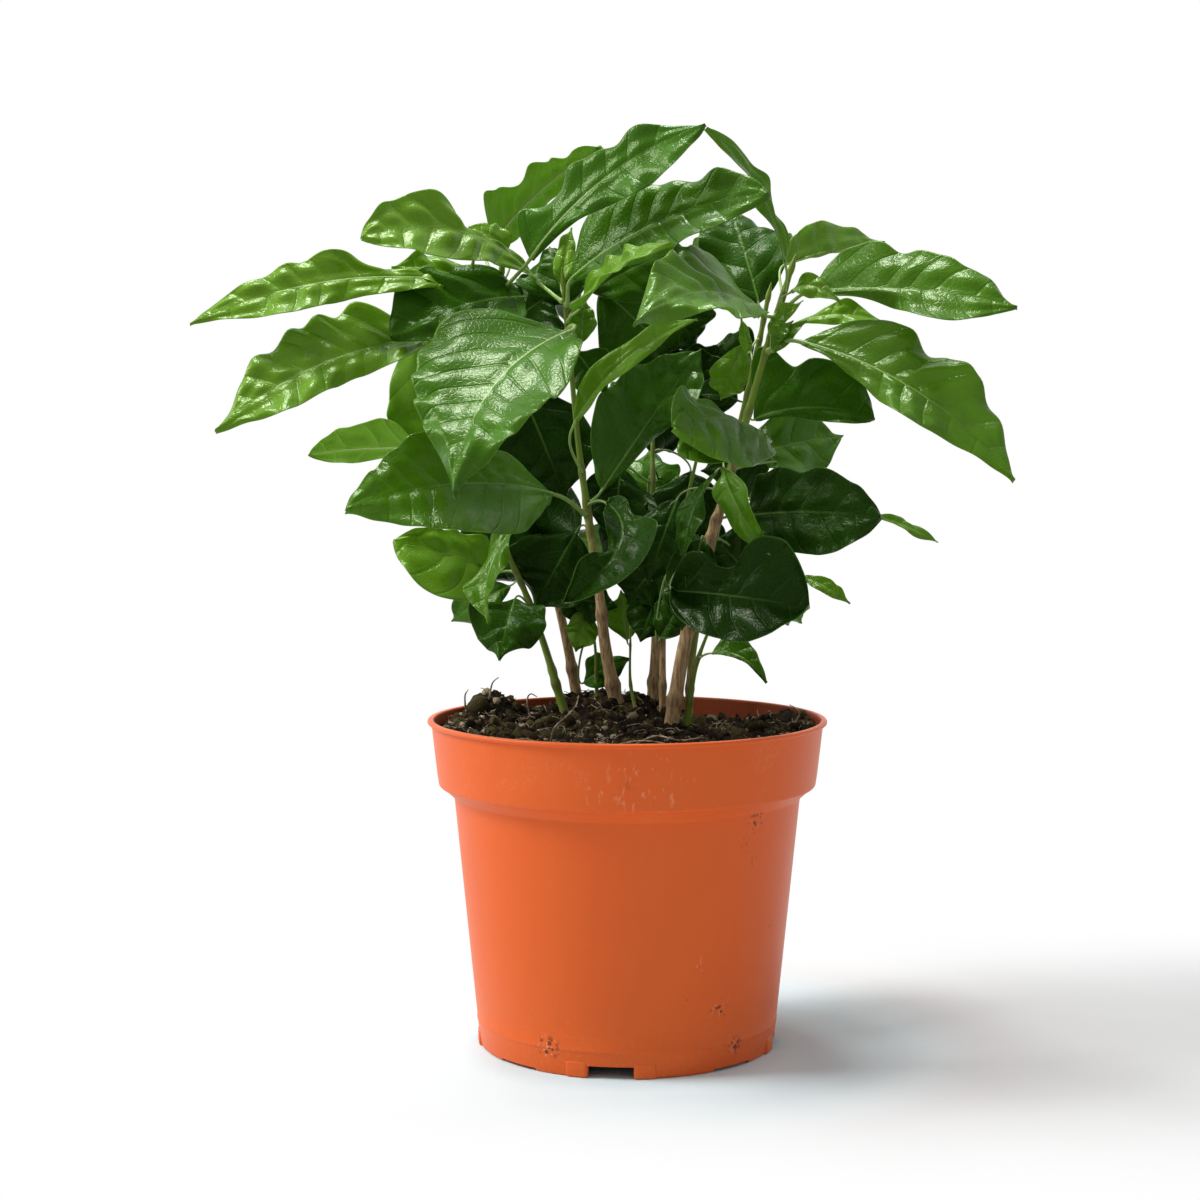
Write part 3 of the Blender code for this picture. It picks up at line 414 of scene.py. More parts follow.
BASE_SLOPE = 2.2  # of a margin at the base, for each millimetre of its first station
BLUNT_TIP_SLOPE = 1.9
FINE_TIP_SLOPE = 0.7
BLADE_FULLNESS = 0.85  # below 1 for a fuller outline than an oval's
DRIP_TIP_START = 0.7
DRIP_TIP_TAPER = 0.5
PETIOLE_ARRIVAL = 0.05  # place on the midrib that the petiole heads for
BLADE_ROWS = 76
BLADE_HALF_COLUMNS = 13
MARGIN_COLUMN = 0.965  # place of the column beside the margin's
BLADE_THICKNESS = 0.3
MIDRIB_GROOVE = 0.3
# Waves run along the margins, and smaller scallops between the veins' ends; both are shares of
# the half width.
WAVE_LENGTH = 27.0
WAVE_IN_PLANE = 0.09
WAVE_OUT_OF_PLANE = 0.33
SCALLOP_IN_PLANE = 0.16
SCALLOP_OUT_OF_PLANE = 0.26
SCALLOPS_PER_VEIN = 0.62
UNDULATION = 0.045  # of the whole blade, as a share of the half width
VEIN_SPACING = 9.0
RIB_ROWS = 30
RIB_SIDES = 8
RIB_RADIUS = 0.62
RIB_DEPTH = 0.12  # under the blade
RIB_TAPER = 0.22  # deeper than that at the base of a large leaf
PETIOLE_ROWS = 14
PETIOLE_RADIUS = 0.85  # of a leaf 80 mm long
PETIOLE_FOOT = 1.35  # how much thicker it is where it leaves the stem
LEAF_SLOTS = (("leaf_young", 0.35), ("leaf_mature", 0.65), ("leaf_old", 2.0))  # up to which age
LEAF_GLOW = {
    "leaf_young": (0.36, 0.62, 0.02),
    "leaf_mature": (0.14, 0.36, 0.012),
    "leaf_old": (0.03, 0.11, 0.006),
}
LEAF_SHEEN = {"leaf_young": 0.36, "leaf_mature": 0.25, "leaf_old": 0.09}
LEAF_SHEEN_TINT = (0.8, 1.0, 0.5, 1.0)
LEAF_THINNESS = {"leaf_young": 1.0, "leaf_mature": 0.7, "leaf_old": 0.3}
VEINLETS = 620  # cells of their net per metre

# ---- stage, in metres from the pot's axis -----------------------------------------------------
CAMERA_LENS = 70.12
CAMERA_PITCH = 4.227  # degrees below level
CAMERA_YAW = 0.669  # degrees to the left
KEY_PLACE = (-0.86, -0.09, 0.84)
KEY_SIZE = 0.45
TOP_PLACE = (-0.12, 0.2, 1.2)
TOP_SIZE = 0.36
LIGHT_TARGET = (0, 0, 0.15)
FLOOR_SIZE = 4.0
FLOOR_TONES = ((0.615, 0.62, 0.62), (0.635, 0.64, 0.64))
# Painted light right beside the pot: paler and cooler floor, which lightens the pot's shadow and evens out
# the pot's colour that falls on it.
FLOOR_PAINTED_LIGHT = (0.74, 0.95, 1.0)  # right beside the pot, whose colour falls on it
FLOOR_PAINTED_LIGHT_REACH = 0.115
SHADOW_CENTRE = (0.17, 0.0)  # of the ellipse outside which the floor fades to plain white
SHADOW_REACH = (0.2, 0.11)


# ---- node trees -------------------------------------------------------------------------------
class Socket:
    """An output of a node. Arithmetic on it adds Math nodes to its tree."""

    def __init__(self, tree, socket):
        self.tree = tree
        self.socket = socket

    def other(self, name):
        """Another output of the same node."""
        outputs = [s for s in self.socket.node.outputs if s.enabled and s.name == name]
        return Socket(self.tree, outputs[0])

    def __add__(self, value):
        return self.tree.math("ADD", self, value)

    def __radd__(self, value):
        return self.tree.math("ADD", value, self)

    def __sub__(self, value):
        return self.tree.math("SUBTRACT", self, value)

    def __rsub__(self, value):
        return self.tree.math("SUBTRACT", value, self)

    def __mul__(self, value):
        return self.tree.math("MULTIPLY", self, value)

    def __rmul__(self, value):
        return self.tree.math("MULTIPLY", value, self)

    def __truediv__(self, value):
        return self.tree.math("DIVIDE", self, value)

    def __pow__(self, value):
        return self.tree.math("POWER", self, value)

    def __abs__(self):
        return self.tree.math("ABSOLUTE", self)


class Tree:
    """A node tree of a material or of a geometry group."""

    def __init__(self, nodes):
        self.nodes = nodes

    def add(self, kind, settings, inputs):
        """One node: its settings first, then the values or links of its sockets, by name or place."""
        node = self.nodes.nodes.new(kind)
        for key, value in settings.items():
            setattr(node, key, value)
        for key, value in inputs.items():
            named = [s for s in node.inputs if s.enabled and s.name == key]
            self.feed(node.inputs[key] if isinstance(key, int) else named[0], value)
        return Socket(self, next(s for s in node.outputs if s.enabled))

    def feed(self, socket, value):
        """Links a node's output to a socket, or sets the socket's value."""
        if isinstance(value, Socket):
            self.nodes.links.new(value.socket, socket)
        else:
            socket.default_value = value

    def math(self, operation, *values, clamp=False):
        settings = {"operation": operation, "use_clamp": clamp}
        return self.add("ShaderNodeMath", settings, dict(enumerate(values)))

    def largest(self, value, *others):
        for other in others:
            value = self.math("MAXIMUM", value, other)
        return value

    def vectors(self, operation, *values):
        """Vector Math on vectors or colours."""
        return self.add("ShaderNodeVectorMath", {"operation": operation}, dict(enumerate(values)))

    def scaled(self, vector, amount):
        """A vector or colour times a number."""
        return self.add("ShaderNodeVectorMath", {"operation": "SCALE"}, {"Vector": vector, "Scale": amount})

    def step(self, value, low, high):
        """0 below low to 1 above high, smoothly; reversed when low is above high."""
        settings = {"interpolation_type": "SMOOTHSTEP"}
        return self.add("ShaderNodeMapRange", settings, {"Value": value, "From Min": low, "From Max": high})

    def mix(self, amount, a, b):
        """Blends two colours."""
        a = a if isinstance(a, Socket) else (*a, 1.0)
        b = b if isinstance(b, Socket) else (*b, 1.0)
        return self.add("ShaderNodeMix", {"data_type": "RGBA"}, {"Factor": amount, "A": a, "B": b})

    def noise(self, where, scale, detail=2.0, rough=0.5, warp=0.0):
        inputs = {"Vector": where, "Scale": scale, "Detail": detail, "Roughness": rough, "Distortion": warp}
        return self.add("ShaderNodeTexNoise", {}, inputs)

    def cells(self, where, scale, feature="F1"):
        return self.add("ShaderNodeTexVoronoi", {"feature": feature}, {"Vector": where, "Scale": scale})

    def attribute(self, name):
        return self.split(self.add("ShaderNodeAttribute", {"attribute_name": name}, {}).other("Vector"))

    def split(self, vector):
        """The three numbers of a vector."""
        parts = self.add("ShaderNodeSeparateXYZ", {}, {"Vector": vector})
        return parts, parts.other("Y"), parts.other("Z")

    def place(self):
        """Object coordinates, in metres."""
        return self.add("ShaderNodeTexCoord", {}, {}).other("Object")

    def stretched(self, where, factors):
        return self.add("ShaderNodeMapping", {}, {"Vector": where, "Scale": factors})


class Paint(Tree):
    """A material's tree around one Principled shader."""

    def __init__(self, name):
        self.material = bpy.data.materials.new(name)
        self.material.use_nodes = True
        super().__init__(self.material.node_tree)
        self.shader = self.nodes.nodes["Principled BSDF"]

    def set(self, **sockets):
        """Values or links of the shader's sockets; an underscore stands for a space."""
        for key, value in sockets.items():
            self.feed(self.shader.inputs[key.replace("_", " ")], value)

    def bump(self, height, distance):
        """Raises the surface by height times distance, in metres."""
        self.set(Normal=self.add("ShaderNodeBump", {}, {"Height": height, "Distance": distance}))

    def blend_in(self, share, other):
        """Mixes another shader with the Principled one."""
        body = Socket(self, self.shader.outputs["BSDF"])
        both = self.add("ShaderNodeMixShader", {}, {0: share, 1: body, 2: other})
        self.feed(self.nodes.nodes["Material Output"].inputs["Surface"], both)

    def let_light_through(self, color, share):
        """Mixes in a thin sheet's glow from the light behind it."""
        self.blend_in(share, self.add("ShaderNodeBsdfTranslucent", {}, {"Color": (*color, 1.0)}))


# ---- meshes -----------------------------------------------------------------------------------
def new_mesh(name, verts, faces):
    mesh = bpy.data.meshes.new(name)
    mesh.from_pydata(verts, [], faces)
    mesh.shade_smooth()
    return mesh


def store(mesh, name, values):
    """Keeps three numbers for each point, for the materials."""
    mesh.attributes.new(name, "FLOAT_VECTOR", "POINT").data.foreach_set("vector", values.ravel())


def evaluated_mesh(obj):
    graph = bpy.context.evaluated_depsgraph_get()
    graph.update()
    return bpy.data.meshes.new_from_object(obj.evaluated_get(graph))


def linked_object(name, data):
    obj = bpy.data.objects.new(name, data)
    bpy.context.scene.collection.objects.link(obj)
    return obj


def formed_mesh(name, form):
    """The mesh of a bmesh form, which is freed."""
    mesh = bpy.data.meshes.new(name)
    form.to_mesh(mesh)
    form.free()
    return mesh


def settle(mesh):
    """Scales a mesh from millimetres about the pot's axis to its place in the frame."""
    mesh.transform(Matrix.Translation(AXIS) @ Matrix.Scale(MM, 4))
    return mesh


def add_piece(name, mesh, slot, *nodes):
    """A finished piece at the origin, which rides on the plant and stands for its CAD nodes."""
    mesh.name = name
    obj = linked_object(name, mesh)
    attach(obj, "root")
    if nodes:
        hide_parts(*nodes)
    return obj


def turned_mesh(name, profile, segments):
    """A closed solid turned from (radius, z) points from axis to axis, down the outside."""
    outline = bpy.data.meshes.new(name)
    points = [(r, 0, z) for r, z in profile]
    outline.from_pydata(points, [(i, i + 1) for i in range(len(points) - 1)], [])
    turned = linked_object(name, outline)
    screw = turned.modifiers.new("turn", "SCREW")
    screw.steps = screw.render_steps = segments
    screw.use_merge_vertices = True
    screw.merge_threshold = 0.0001
    screw.use_smooth_shade = True
    mesh = evaluated_mesh(turned)
    bpy.data.objects.remove(turned)
    bpy.data.meshes.remove(outline)
    return mesh


def arc(centre, radius, start, end, steps=6):
    """(radius, z) points of an arc; angles in degrees, 0 outwards and 90 up."""
    angles = [math.radians(start + (end - start) * k / steps) for k in range(steps + 1)]
    return [(centre[0] + radius * math.cos(a), centre[1] + radius * math.sin(a)) for a in angles]


def straight(a, b, steps):
    """Points from a to b, without b."""
    return [(a[0] + (b[0] - a[0]) * k / steps, a[1] + (b[1] - a[1]) * k / steps) for k in range(steps)]


def in_turn(bearing, radius, z):
    """The place at a bearing, in degrees round from the front, and a distance from the axis."""
    angle = math.radians(bearing)
    return Vector((math.sin(angle) * radius, -math.cos(angle) * radius, z))


def unit(vectors):
    return vectors / np.maximum(np.linalg.norm(vectors, axis=-1, keepdims=True), 1e-9)


def tube(path, radii, sides):
    """Points and faces of a closed tube along a path."""
    path = np.array(path, float)
    heading = unit(np.gradient(path, axis=0))
    across = np.cross(heading[0], (0.0, 0.0, 1.0) if abs(heading[0][2]) < 0.9 else (0.0, 1.0, 0.0))
    turns = np.arange(sides) * math.tau / sides
    points = []
    for centre, ahead, radius in zip(path, heading, radii):
        across = across - ahead * np.dot(across, ahead)
        across = across / np.linalg.norm(across)
        other = np.cross(ahead, across)
        ring = np.cos(turns)[:, None] * across + np.sin(turns)[:, None] * other
        points.append(centre + ring * radius)
    last = (len(path) - 1) * sides
    faces = []
    for start in range(0, last, sides):
        for k in range(sides):
            a, b = start + k, start + (k + 1) % sides
            faces.append((a, b, b + sides, a + sides))
    faces.append(tuple(range(sides))[::-1])
    faces.append(tuple(range(last, last + sides)))
    return np.concatenate(points), faces


# ---- stems' and leaves' shapes ----------------------------------------------------------------
def smooth_path(points, samples):
    """Evenly spaced points on a smooth curve through the given ones."""
    knots = [Vector(p) for p in points]
    knots = [2 * knots[0] - knots[1], *knots, 2 * knots[-1] - knots[-2]]
    spans = len(points) - 1
    path = []
    for i in range(samples + 1):
        along = i / samples * spans
        k = min(int(along), spans - 1)
        t = along - k
        a, b, c, d = knots[k : k + 4]
        path.append(
            0.5 * (2 * b + (c - a) * t + (2 * a - 5 * b + 4 * c - d) * t * t + (3 * b - a - 3 * c + d) * t**3)
        )
    return path


def stem_path(stem, samples):
    """(point, radius) along a stem, from its foot in the soil to its top."""
    foot = Vector(stem.points[0])
    heading = Vector(stem.points[1]) - foot
    buried = foot - heading * (SOCKET_DEPTH / heading.z)
    path = [buried, *smooth_path(stem.points, samples)]
    taper = stem.top_radius - stem.foot_radius
    radii = [stem.foot_radius + taper * max(0, i - 1) / samples for i in range(len(path))]
    return list(zip(path, radii))


def stem_at(stem, height):
    """The stem's centre and radius at a height."""
    path = stem_path(stem, STEM_SAMPLES)
    for (a, ra), (b, rb) in zip(path, path[1:]):
        if a.z <= height <= b.z:
            t = (height - a.z) / (b.z - a.z)
            return a.lerp(b, t), ra + (rb - ra) * t
    return path[-1]


def blade_half_width(leaf, u):
    """Half the blade's width at each u, from 0 at its base to 1 at its drawn-out tip."""
    power = math.log(0.5) / math.log(leaf.belly)
    body = np.sin(math.pi * u**power).clip(0) ** BLADE_FULLNESS
    taper = ((u - DRIP_TIP_START) / (1 - DRIP_TIP_START)).clip(0, 1)
    return leaf.width / 2 * body * (1 - DRIP_TIP_TAPER * taper * taper * (3 - 2 * taper))


def margin_curve(stations, u, blur=False):
    """The reach at each u by a smooth curve through a margin's stations; blurred, without its waves."""
    values = np.array([0.0, *stations, 0.0])
    if blur:
        padded = np.pad(values, 2, mode="reflect", reflect_type="odd")
        values = np.convolve(padded, MARGIN_BLUR, mode="valid")
    last = len(values) - 1
    place = u * last
    k = np.minimum(place.astype(int), last - 1)
    t = place - k
    values[1:-1] = MARGIN_EASE * (values[:-2] + values[2:]) + (1 - 2 * MARGIN_EASE) * values[1:-1]
    slope = np.gradient(values)
    tip_slope = BLUNT_TIP_SLOPE if values[-2] > 0.33 * values.max() else FINE_TIP_SLOPE
    slope[0], slope[-1] = BASE_SLOPE * values[1], -tip_slope * values[-2]
    a, b = values[k], values[k + 1]
    curve = a * (1 + 2 * t) * (1 - t) ** 2 + b * t * t * (3 - 2 * t)
    curve += slope[k] * t * (1 - t) ** 2 + slope[k + 1] * t * t * (t - 1)
    return np.maximum(curve, 0.2)


def vein_slant(distance):
    """How far towards the tip a lateral vein has run at a distance from the midrib."""
    return 0.35 * distance + 0.026 * distance**2


def blade_axes(leaf):
    """The blade's straight line from base to tip, the way its upper face looks, and its side."""
    base, tip = Vector(leaf.base), Vector(leaf.tip)
    chord = (tip - base).normalized()
    tilt = math.radians(leaf.tilt)
    up = Vector((0, -math.sin(tilt), math.cos(tilt)))
    up = (up - chord * up.dot(chord)).normalized()
    side = chord.cross(up)
    lean = math.radians(leaf.lean)
    return chord, up * math.cos(lean) + side * math.sin(lean), side * math.cos(lean) - up * math.sin(lean)


def blade_midrib(leaf, u):
    """Points of the midrib at each u."""
    _, up, side = blade_axes(leaf)
    u = np.asarray(u, float)[..., None]
    bow = 4 * u * (1 - u)
    base, tip = np.array(leaf.base, float), np.array(leaf.tip, float)
    return base + (tip - base) * u + bow * (leaf.arch * np.array(up) + leaf.sweep * np.array(side))


def petiole_path(leaf, steps):
    """Points from inside the stem to the blade's base, without the base."""
    centre, radius = stem_at(STEMS[leaf.stem], leaf.height)
    base = Vector(leaf.base)
    outward = Vector((base.x - centre.x, base.y - centre.y, 0)).normalized()
    start = centre + outward * radius / 2
    arrive = Vector(blade_midrib(leaf, PETIOLE_ARRIVAL)) - base
    reach = (base - start).length / 3
    leave_handle = start + (outward + Vector((0, 0, 0.5))).normalized() * reach
    arrive_handle = base - arrive.normalized() * reach
    path = []
    for i in range(steps):
        t = i / steps
        point = start * (1 - t) ** 3 + base * t**3
        path.append(point + 3 * (1 - t) * t * (leave_handle * (1 - t) + arrive_handle * t))
    return path


def blade_frame(leaf, u):
    """Midrib points with the side and upper directions of the blade at each u."""
    middle = blade_midrib(leaf, u)
    along = unit(np.gradient(middle, axis=0))
    side = np.array(blade_axes(leaf)[2])
    side = unit(side - along * (along @ side)[:, None])
    return middle, side, np.cross(side, along)


def blade_columns():
    """Places across the blade, from -1 to 1, closest together at the midrib and the margins."""
    half = np.linspace(0, 1, BLADE_HALF_COLUMNS)
    half = np.append(half * MARGIN_COLUMN, 1.0)
    return np.concatenate([-half[:0:-1], half])


def margin_reach(leaf, stations, u, length, envelope, rng):
    """How far one margin reaches at each u and its waves, from its stations or from a rule."""
    if stations:
        reach = margin_curve(stations, u)
        wave = (reach - margin_curve(stations, u, blur=True)) / (leaf.width / 2)
        return reach, (wave / max(0.08, np.abs(wave).max())).clip(-1, 1) * envelope
    waves = max(1.5, length / WAVE_LENGTH)
    start, quick = rng.uniform(0, math.tau), rng.uniform(0.85, 1.15)
    drift = rng.uniform(0.3, 0.8) * np.sin(math.tau * u)
    wave = np.sin(math.tau * waves * quick * u + start + drift) * envelope
    return np.maximum(blade_half_width(leaf, u), 0.25) * (1 + WAVE_IN_PLANE * wave), wave


def blade_surface(leaf, margins, rng):
    """The blade's middle surface as a grid of points, with its map: vein phase, distance, place."""
    u = np.linspace(0, 1, BLADE_ROWS)
    v = blade_columns()
    middle, side, up = blade_frame(leaf, u)
    length = np.linalg.norm(np.diff(middle, axis=0), axis=1).sum()
    envelope = np.sin(math.pi * u.clip(0.0, 1.0)) ** 0.6
    veins = max(4, round(length / VEIN_SPACING))
    unevenness = 0.16 * np.sin(math.tau * (rng.uniform(1.2, 2.4) * u + rng.uniform()))
    ripple, reach, scallop = (np.empty((len(u), len(v))) for _ in range(3))
    for stations, half in zip(margins or (None, None), (v < 0, v >= 0)):
        margin, wave = margin_reach(leaf, stations, u, length, envelope, rng)
        at_margin = veins * (u - vein_slant(margin) / length) + unevenness
        bulge = np.sin(math.tau * (SCALLOPS_PER_VEIN * at_margin + rng.uniform())) * envelope
        bulge *= (0.3 if stations else 0.5) * (0.7 + 0.3 * np.sin(9 * u + rng.uniform(0, 6)))
        scallop[:, half] = bulge[:, None]
        ripple[:, half] = wave[:, None]
        reach[:, half] = (margin * (1 + SCALLOP_IN_PLANE * bulge))[:, None]
    across = reach * v
    distance = np.abs(across)
    along = np.broadcast_to(u[:, None], distance.shape)
    phase = veins * (along - vein_slant(distance) / length) + np.where(v < 0, 0.0, 0.4) + unevenness[:, None]
    height = distance * math.sin(math.radians(leaf.fold)) + leaf.cup * leaf.width / 2 * v * v
    height += blade_waves(leaf, along, v, ripple, scallop, rng)
    height += blade_relief(leaf, along, v, distance, phase, length / veins, envelope, rng)
    lateral = across * math.cos(math.radians(leaf.fold))
    points = middle[:, None] + side[:, None] * lateral[..., None] + up[:, None] * height[..., None]
    return points, np.stack([phase, distance, along], axis=-1), np.broadcast_to(np.abs(v), phase.shape)


def blade_waves(leaf, along, v, ripple, scallop, rng):
    """How the margins rise and fall, out of the blade's plane."""
    size = leaf.width / 2
    sway = 0.5 * np.sin(math.tau * (1.4 * along + rng.uniform())) * np.sign(v) * np.abs(v) ** 1.5
    waves = WAVE_OUT_OF_PLANE * size * ripple * np.abs(v) ** 2.2
    return sway + waves + SCALLOP_OUT_OF_PLANE * size * scallop * np.abs(v) ** 3


def blade_relief(leaf, along, v, distance, phase, spread, envelope, rng):
    """The quilting between the veins, the blade's slow undulation and the groove over its midrib."""
    gap = np.abs(phase - np.floor(phase) - 0.5) * spread
    pillow = 1 - np.exp(-((gap / (0.26 * spread)) ** 2))
    inner = 1 - np.exp(-((distance / 1.6) ** 2))
    outer = 1 - np.abs(v) ** 5
    patchy = np.sin(math.tau * (1.3 * along + 0.5 * v + rng.uniform()))
    patchy = patchy * np.sin(math.tau * (0.9 * along - 0.8 * v + rng.uniform()))
    quilting = leaf.quilt * (pillow - 0.5) * inner * outer * envelope[:, None] * (0.8 + 0.6 * patchy)
    groove = MIDRIB_GROOVE * np.exp(-((distance / 0.9) ** 2)) * (1 - along)
    return quilting + UNDULATION * leaf.width / 2 * patchy * inner - groove


def blade_faces(rows, columns):
    """The quads of a closed sheet of two grids, and for each the material: 0 above, 1 below."""
    count = rows * columns
    grid = np.arange(count).reshape(rows, columns)
    quads = np.stack([grid[:-1, :-1], grid[:-1, 1:], grid[1:, 1:], grid[1:, :-1]], axis=-1).reshape(-1, 4)
    rim = np.concatenate([grid[0, :-1], grid[:-1, -1], grid[-1, :0:-1], grid[:0:-1, 0]]).tolist()
    edge = [(b, a, a + count, b + count) for a, b in zip(rim, rim[1:] + rim[:1])]
    faces = [*quads.tolist(), *(quads[:, ::-1] + count).tolist(), *edge]
    return faces, [0] * len(quads) + [1] * len(quads) + [0] * len(edge)


def rib_tube(leaf):
    """The petiole and the midrib under the blade, as one tapering tube."""
    size = min(1.15, max(0.45, math.dist(leaf.base, leaf.tip) / 80))
    u = np.linspace(0, 0.985, RIB_ROWS)
    middle, _, up = blade_frame(leaf, u)
    rib = middle - up * (MIDRIB_GROOVE * (1 - u) + RIB_DEPTH + RIB_TAPER * (1 - u) * size)[:, None]
    petiole = np.array([list(p) for p in petiole_path(leaf, PETIOLE_ROWS)])
    depth = MIDRIB_GROOVE + RIB_DEPTH + RIB_TAPER * size
    petiole -= up[0] * depth * np.linspace(0, 1, PETIOLE_ROWS)[:, None] ** 3
    radii = np.concatenate([
        np.linspace(PETIOLE_RADIUS, RIB_RADIUS, PETIOLE_ROWS) * size,
        RIB_RADIUS * size * (1 - u) ** 0.8 + 0.1,
    ])
    radii[:2] *= PETIOLE_FOOT
    return tube(np.concatenate([petiole, rib]), radii, RIB_SIDES)


def leaf_mesh(name, leaf, seed):
    """A leaf: its blade as a closed thin sheet, and its petiole and midrib as one tapering tube."""
    rng = np.random.default_rng(seed)
    points, chart, edge = blade_surface(leaf, MARGINS.get(name), rng)
    normal = unit(np.cross(np.gradient(points, axis=1), np.gradient(points, axis=0)))
    half_thick = (BLADE_THICKNESS / 2 * (1 - 0.4 * edge**6))[..., None]
    faces, kinds = blade_faces(*edge.shape)
    rib, rib_faces = rib_tube(leaf)
    blade_points = 2 * edge.size
    faces += [tuple(i + blade_points for i in face) for face in rib_faces]
    kinds += [2] * len(rib_faces)
    sheets = [(points + normal * half_thick).reshape(-1, 3), (points - normal * half_thick).reshape(-1, 3)]
    mesh = new_mesh(name, np.concatenate([*sheets, rib]).tolist(), faces)
    mesh.polygons.foreach_set("material_index", kinds)
    maps = np.zeros((blade_points + len(rib), 3))
    tone = np.zeros_like(maps)
    maps[:blade_points] = np.tile(chart.reshape(-1, 3), (2, 1))
    # First number: how old and dark the leaf is, also raised as painted shade for leaves in shade.
    tone[:, 0] = leaf.age
    tone[:blade_points, 1] = np.tile(edge.ravel(), 2)
    store(mesh, "leaf_map", maps)
    store(mesh, "leaf_tone", tone)
    return settle(mesh)


# ---- leaf materials ---------------------------------------------------------------------------
def leaf_slot(age):
    return next(slot for slot, limit in LEAF_SLOTS if age < limit)


def upper_leaf(slot):
    """The glossy upper face: pale sunken veins, quilting between them and a fine net of veinlets."""
    leaves = bpy.context.scene.coffee_leaves
    paint = Paint(f"{slot}_upper")
    place = paint.place()
    phase, from_midrib, along = paint.attribute("leaf_map")
    age, edge, _ = paint.attribute("leaf_tone")
    # Young to old colour; the darker end also paints the shade on leaves inside the clump and on the right.
    young = paint.mix(paint.step(age, 0.0, 0.5), leaves.young, leaves.mature)
    green = paint.mix(paint.step(age, 0.45, 1.0), young, leaves.old)
    patches = paint.noise(place, 55, 3, 0.55)
    green = paint.scaled(green, 0.72 + 0.56 * patches)
    to_vein = abs(paint.math("FRACT", phase) - 0.5) * VEIN_SPACING
    lateral = paint.step(to_vein, 0.42, 0.06) * paint.step(from_midrib, 13.0, 2.0)
    midrib = paint.step(from_midrib, 0.5, 0.15) * paint.step(along, 1.0, 0.2)
    net = paint.cells(place, VEINLETS, "DISTANCE_TO_EDGE")
    veinlets = paint.step(net, 0.12, 0.02)
    margin = paint.step(edge, 0.962, 1.0) * 0.5
    veins = paint.largest(midrib * 0.75, lateral * 0.13, veinlets * 0.06, margin)
    color = paint.mix(veins, green, paint.mix(age, leaves.young_vein, leaves.old_vein))
    grain = paint.noise(place, 1500, 2)
    paint.set(Base_Color=color, Roughness=leaves.roughness - 0.06 + 0.12 * patches + 0.06 * grain)
    paint.set(Specular_IOR_Level=LEAF_SHEEN[slot], Specular_Tint=LEAF_SHEEN_TINT)
    height = 0.2 * paint.step(net, 0.0, 0.2) - 0.8 * paint.step(to_vein, 0.9, 0.0) + 0.15 * grain
    paint.bump(height, 0.00018)
    paint.let_light_through(LEAF_GLOW[slot], leaves.translucency * LEAF_THINNESS[slot])
    return paint.material


def under_leaf(slot):
    """The duller, paler underside, where the veins stand out."""
    leaves = bpy.context.scene.coffee_leaves
    paint = Paint(f"{slot}_under")
    place = paint.place()
    phase, from_midrib, _ = paint.attribute("leaf_map")
    age, _, _ = paint.attribute("leaf_tone")
    patches = paint.noise(place, 70, 3)
    green = paint.scaled(paint.mix(age, leaves.young_under, leaves.old_under), 0.85 + 0.3 * patches)
    to_vein = abs(paint.math("FRACT", phase) - 0.5) * VEIN_SPACING
    lateral = paint.step(to_vein, 0.55, 0.1) * paint.step(from_midrib, 14.0, 3.0)
    midrib = paint.step(from_midrib, 1.1, 0.4)
    net = paint.cells(place, VEINLETS, "DISTANCE_TO_EDGE")
    veins = paint.largest(midrib * 0.7, lateral * 0.6, paint.step(net, 0.14, 0.03) * 0.12)
    paint.set(Base_Color=paint.mix(veins, green, leaves.young_vein), Roughness=0.5 + 0.12 * patches)
    paint.set(Specular_IOR_Level=0.4 * LEAF_SHEEN[slot], Specular_Tint=LEAF_SHEEN_TINT)
    paint.bump(0.8 * paint.step(to_vein, 0.9, 0.0) + 0.25 * paint.step(net, 0.2, 0.0), 0.0002)
    paint.let_light_through(LEAF_GLOW[slot], leaves.translucency * LEAF_THINNESS[slot])
    return paint.material


def petiole_skin(slot):
    """The streaked skin of a petiole and midrib."""
    leaves = bpy.context.scene.coffee_leaves
    paint = Paint(f"{slot}_petiole")
    age, _, _ = paint.attribute("leaf_tone")
    streaks = paint.noise(paint.stretched(paint.place(), (1.0, 1.0, 0.35)), 700, 3)
    color = paint.mix(age, leaves.young_petiole, leaves.old_petiole)
    paint.set(Base_Color=paint.scaled(color, 0.75 + 0.5 * streaks), Roughness=0.36 + 0.12 * streaks)
    paint.bump(streaks, 0.0001)
    return paint.material


# ---- stems ------------------------------------------------------------------------------------
def stem_skin(slot):
    """Green skin that turns to brown fissured bark, by the wood attribute."""
    stems = bpy.context.scene.coffee_stems
    paint = Paint(f"{slot}_skin")
    place = paint.place()
    wood, node, _ = paint.attribute("stem_map")
    fissures = paint.noise(paint.stretched(place, (1.0, 1.0, 0.16)), 1400, 4, 0.6)
    blotches = paint.noise(place, 160, 3)
    amount = paint.step(wood + (blotches - 0.5) * 0.5, 0.25, 0.75)
    bark = paint.mix(paint.step(fissures, 0.35, 0.65), stems.bark_dark, stems.bark)
    green = paint.mix(blotches, stems.green, stems.green_light)
    color = paint.mix(amount, green, bark)
    color = paint.mix(node * 0.45, color, stems.node)
    paint.set(Base_Color=color, Roughness=0.42 + 0.3 * amount + 0.1 * fissures)
    paint.set(Specular_IOR_Level=0.25)
    paint.bump(fissures * (0.25 + amount), 0.00025)
    return paint.material


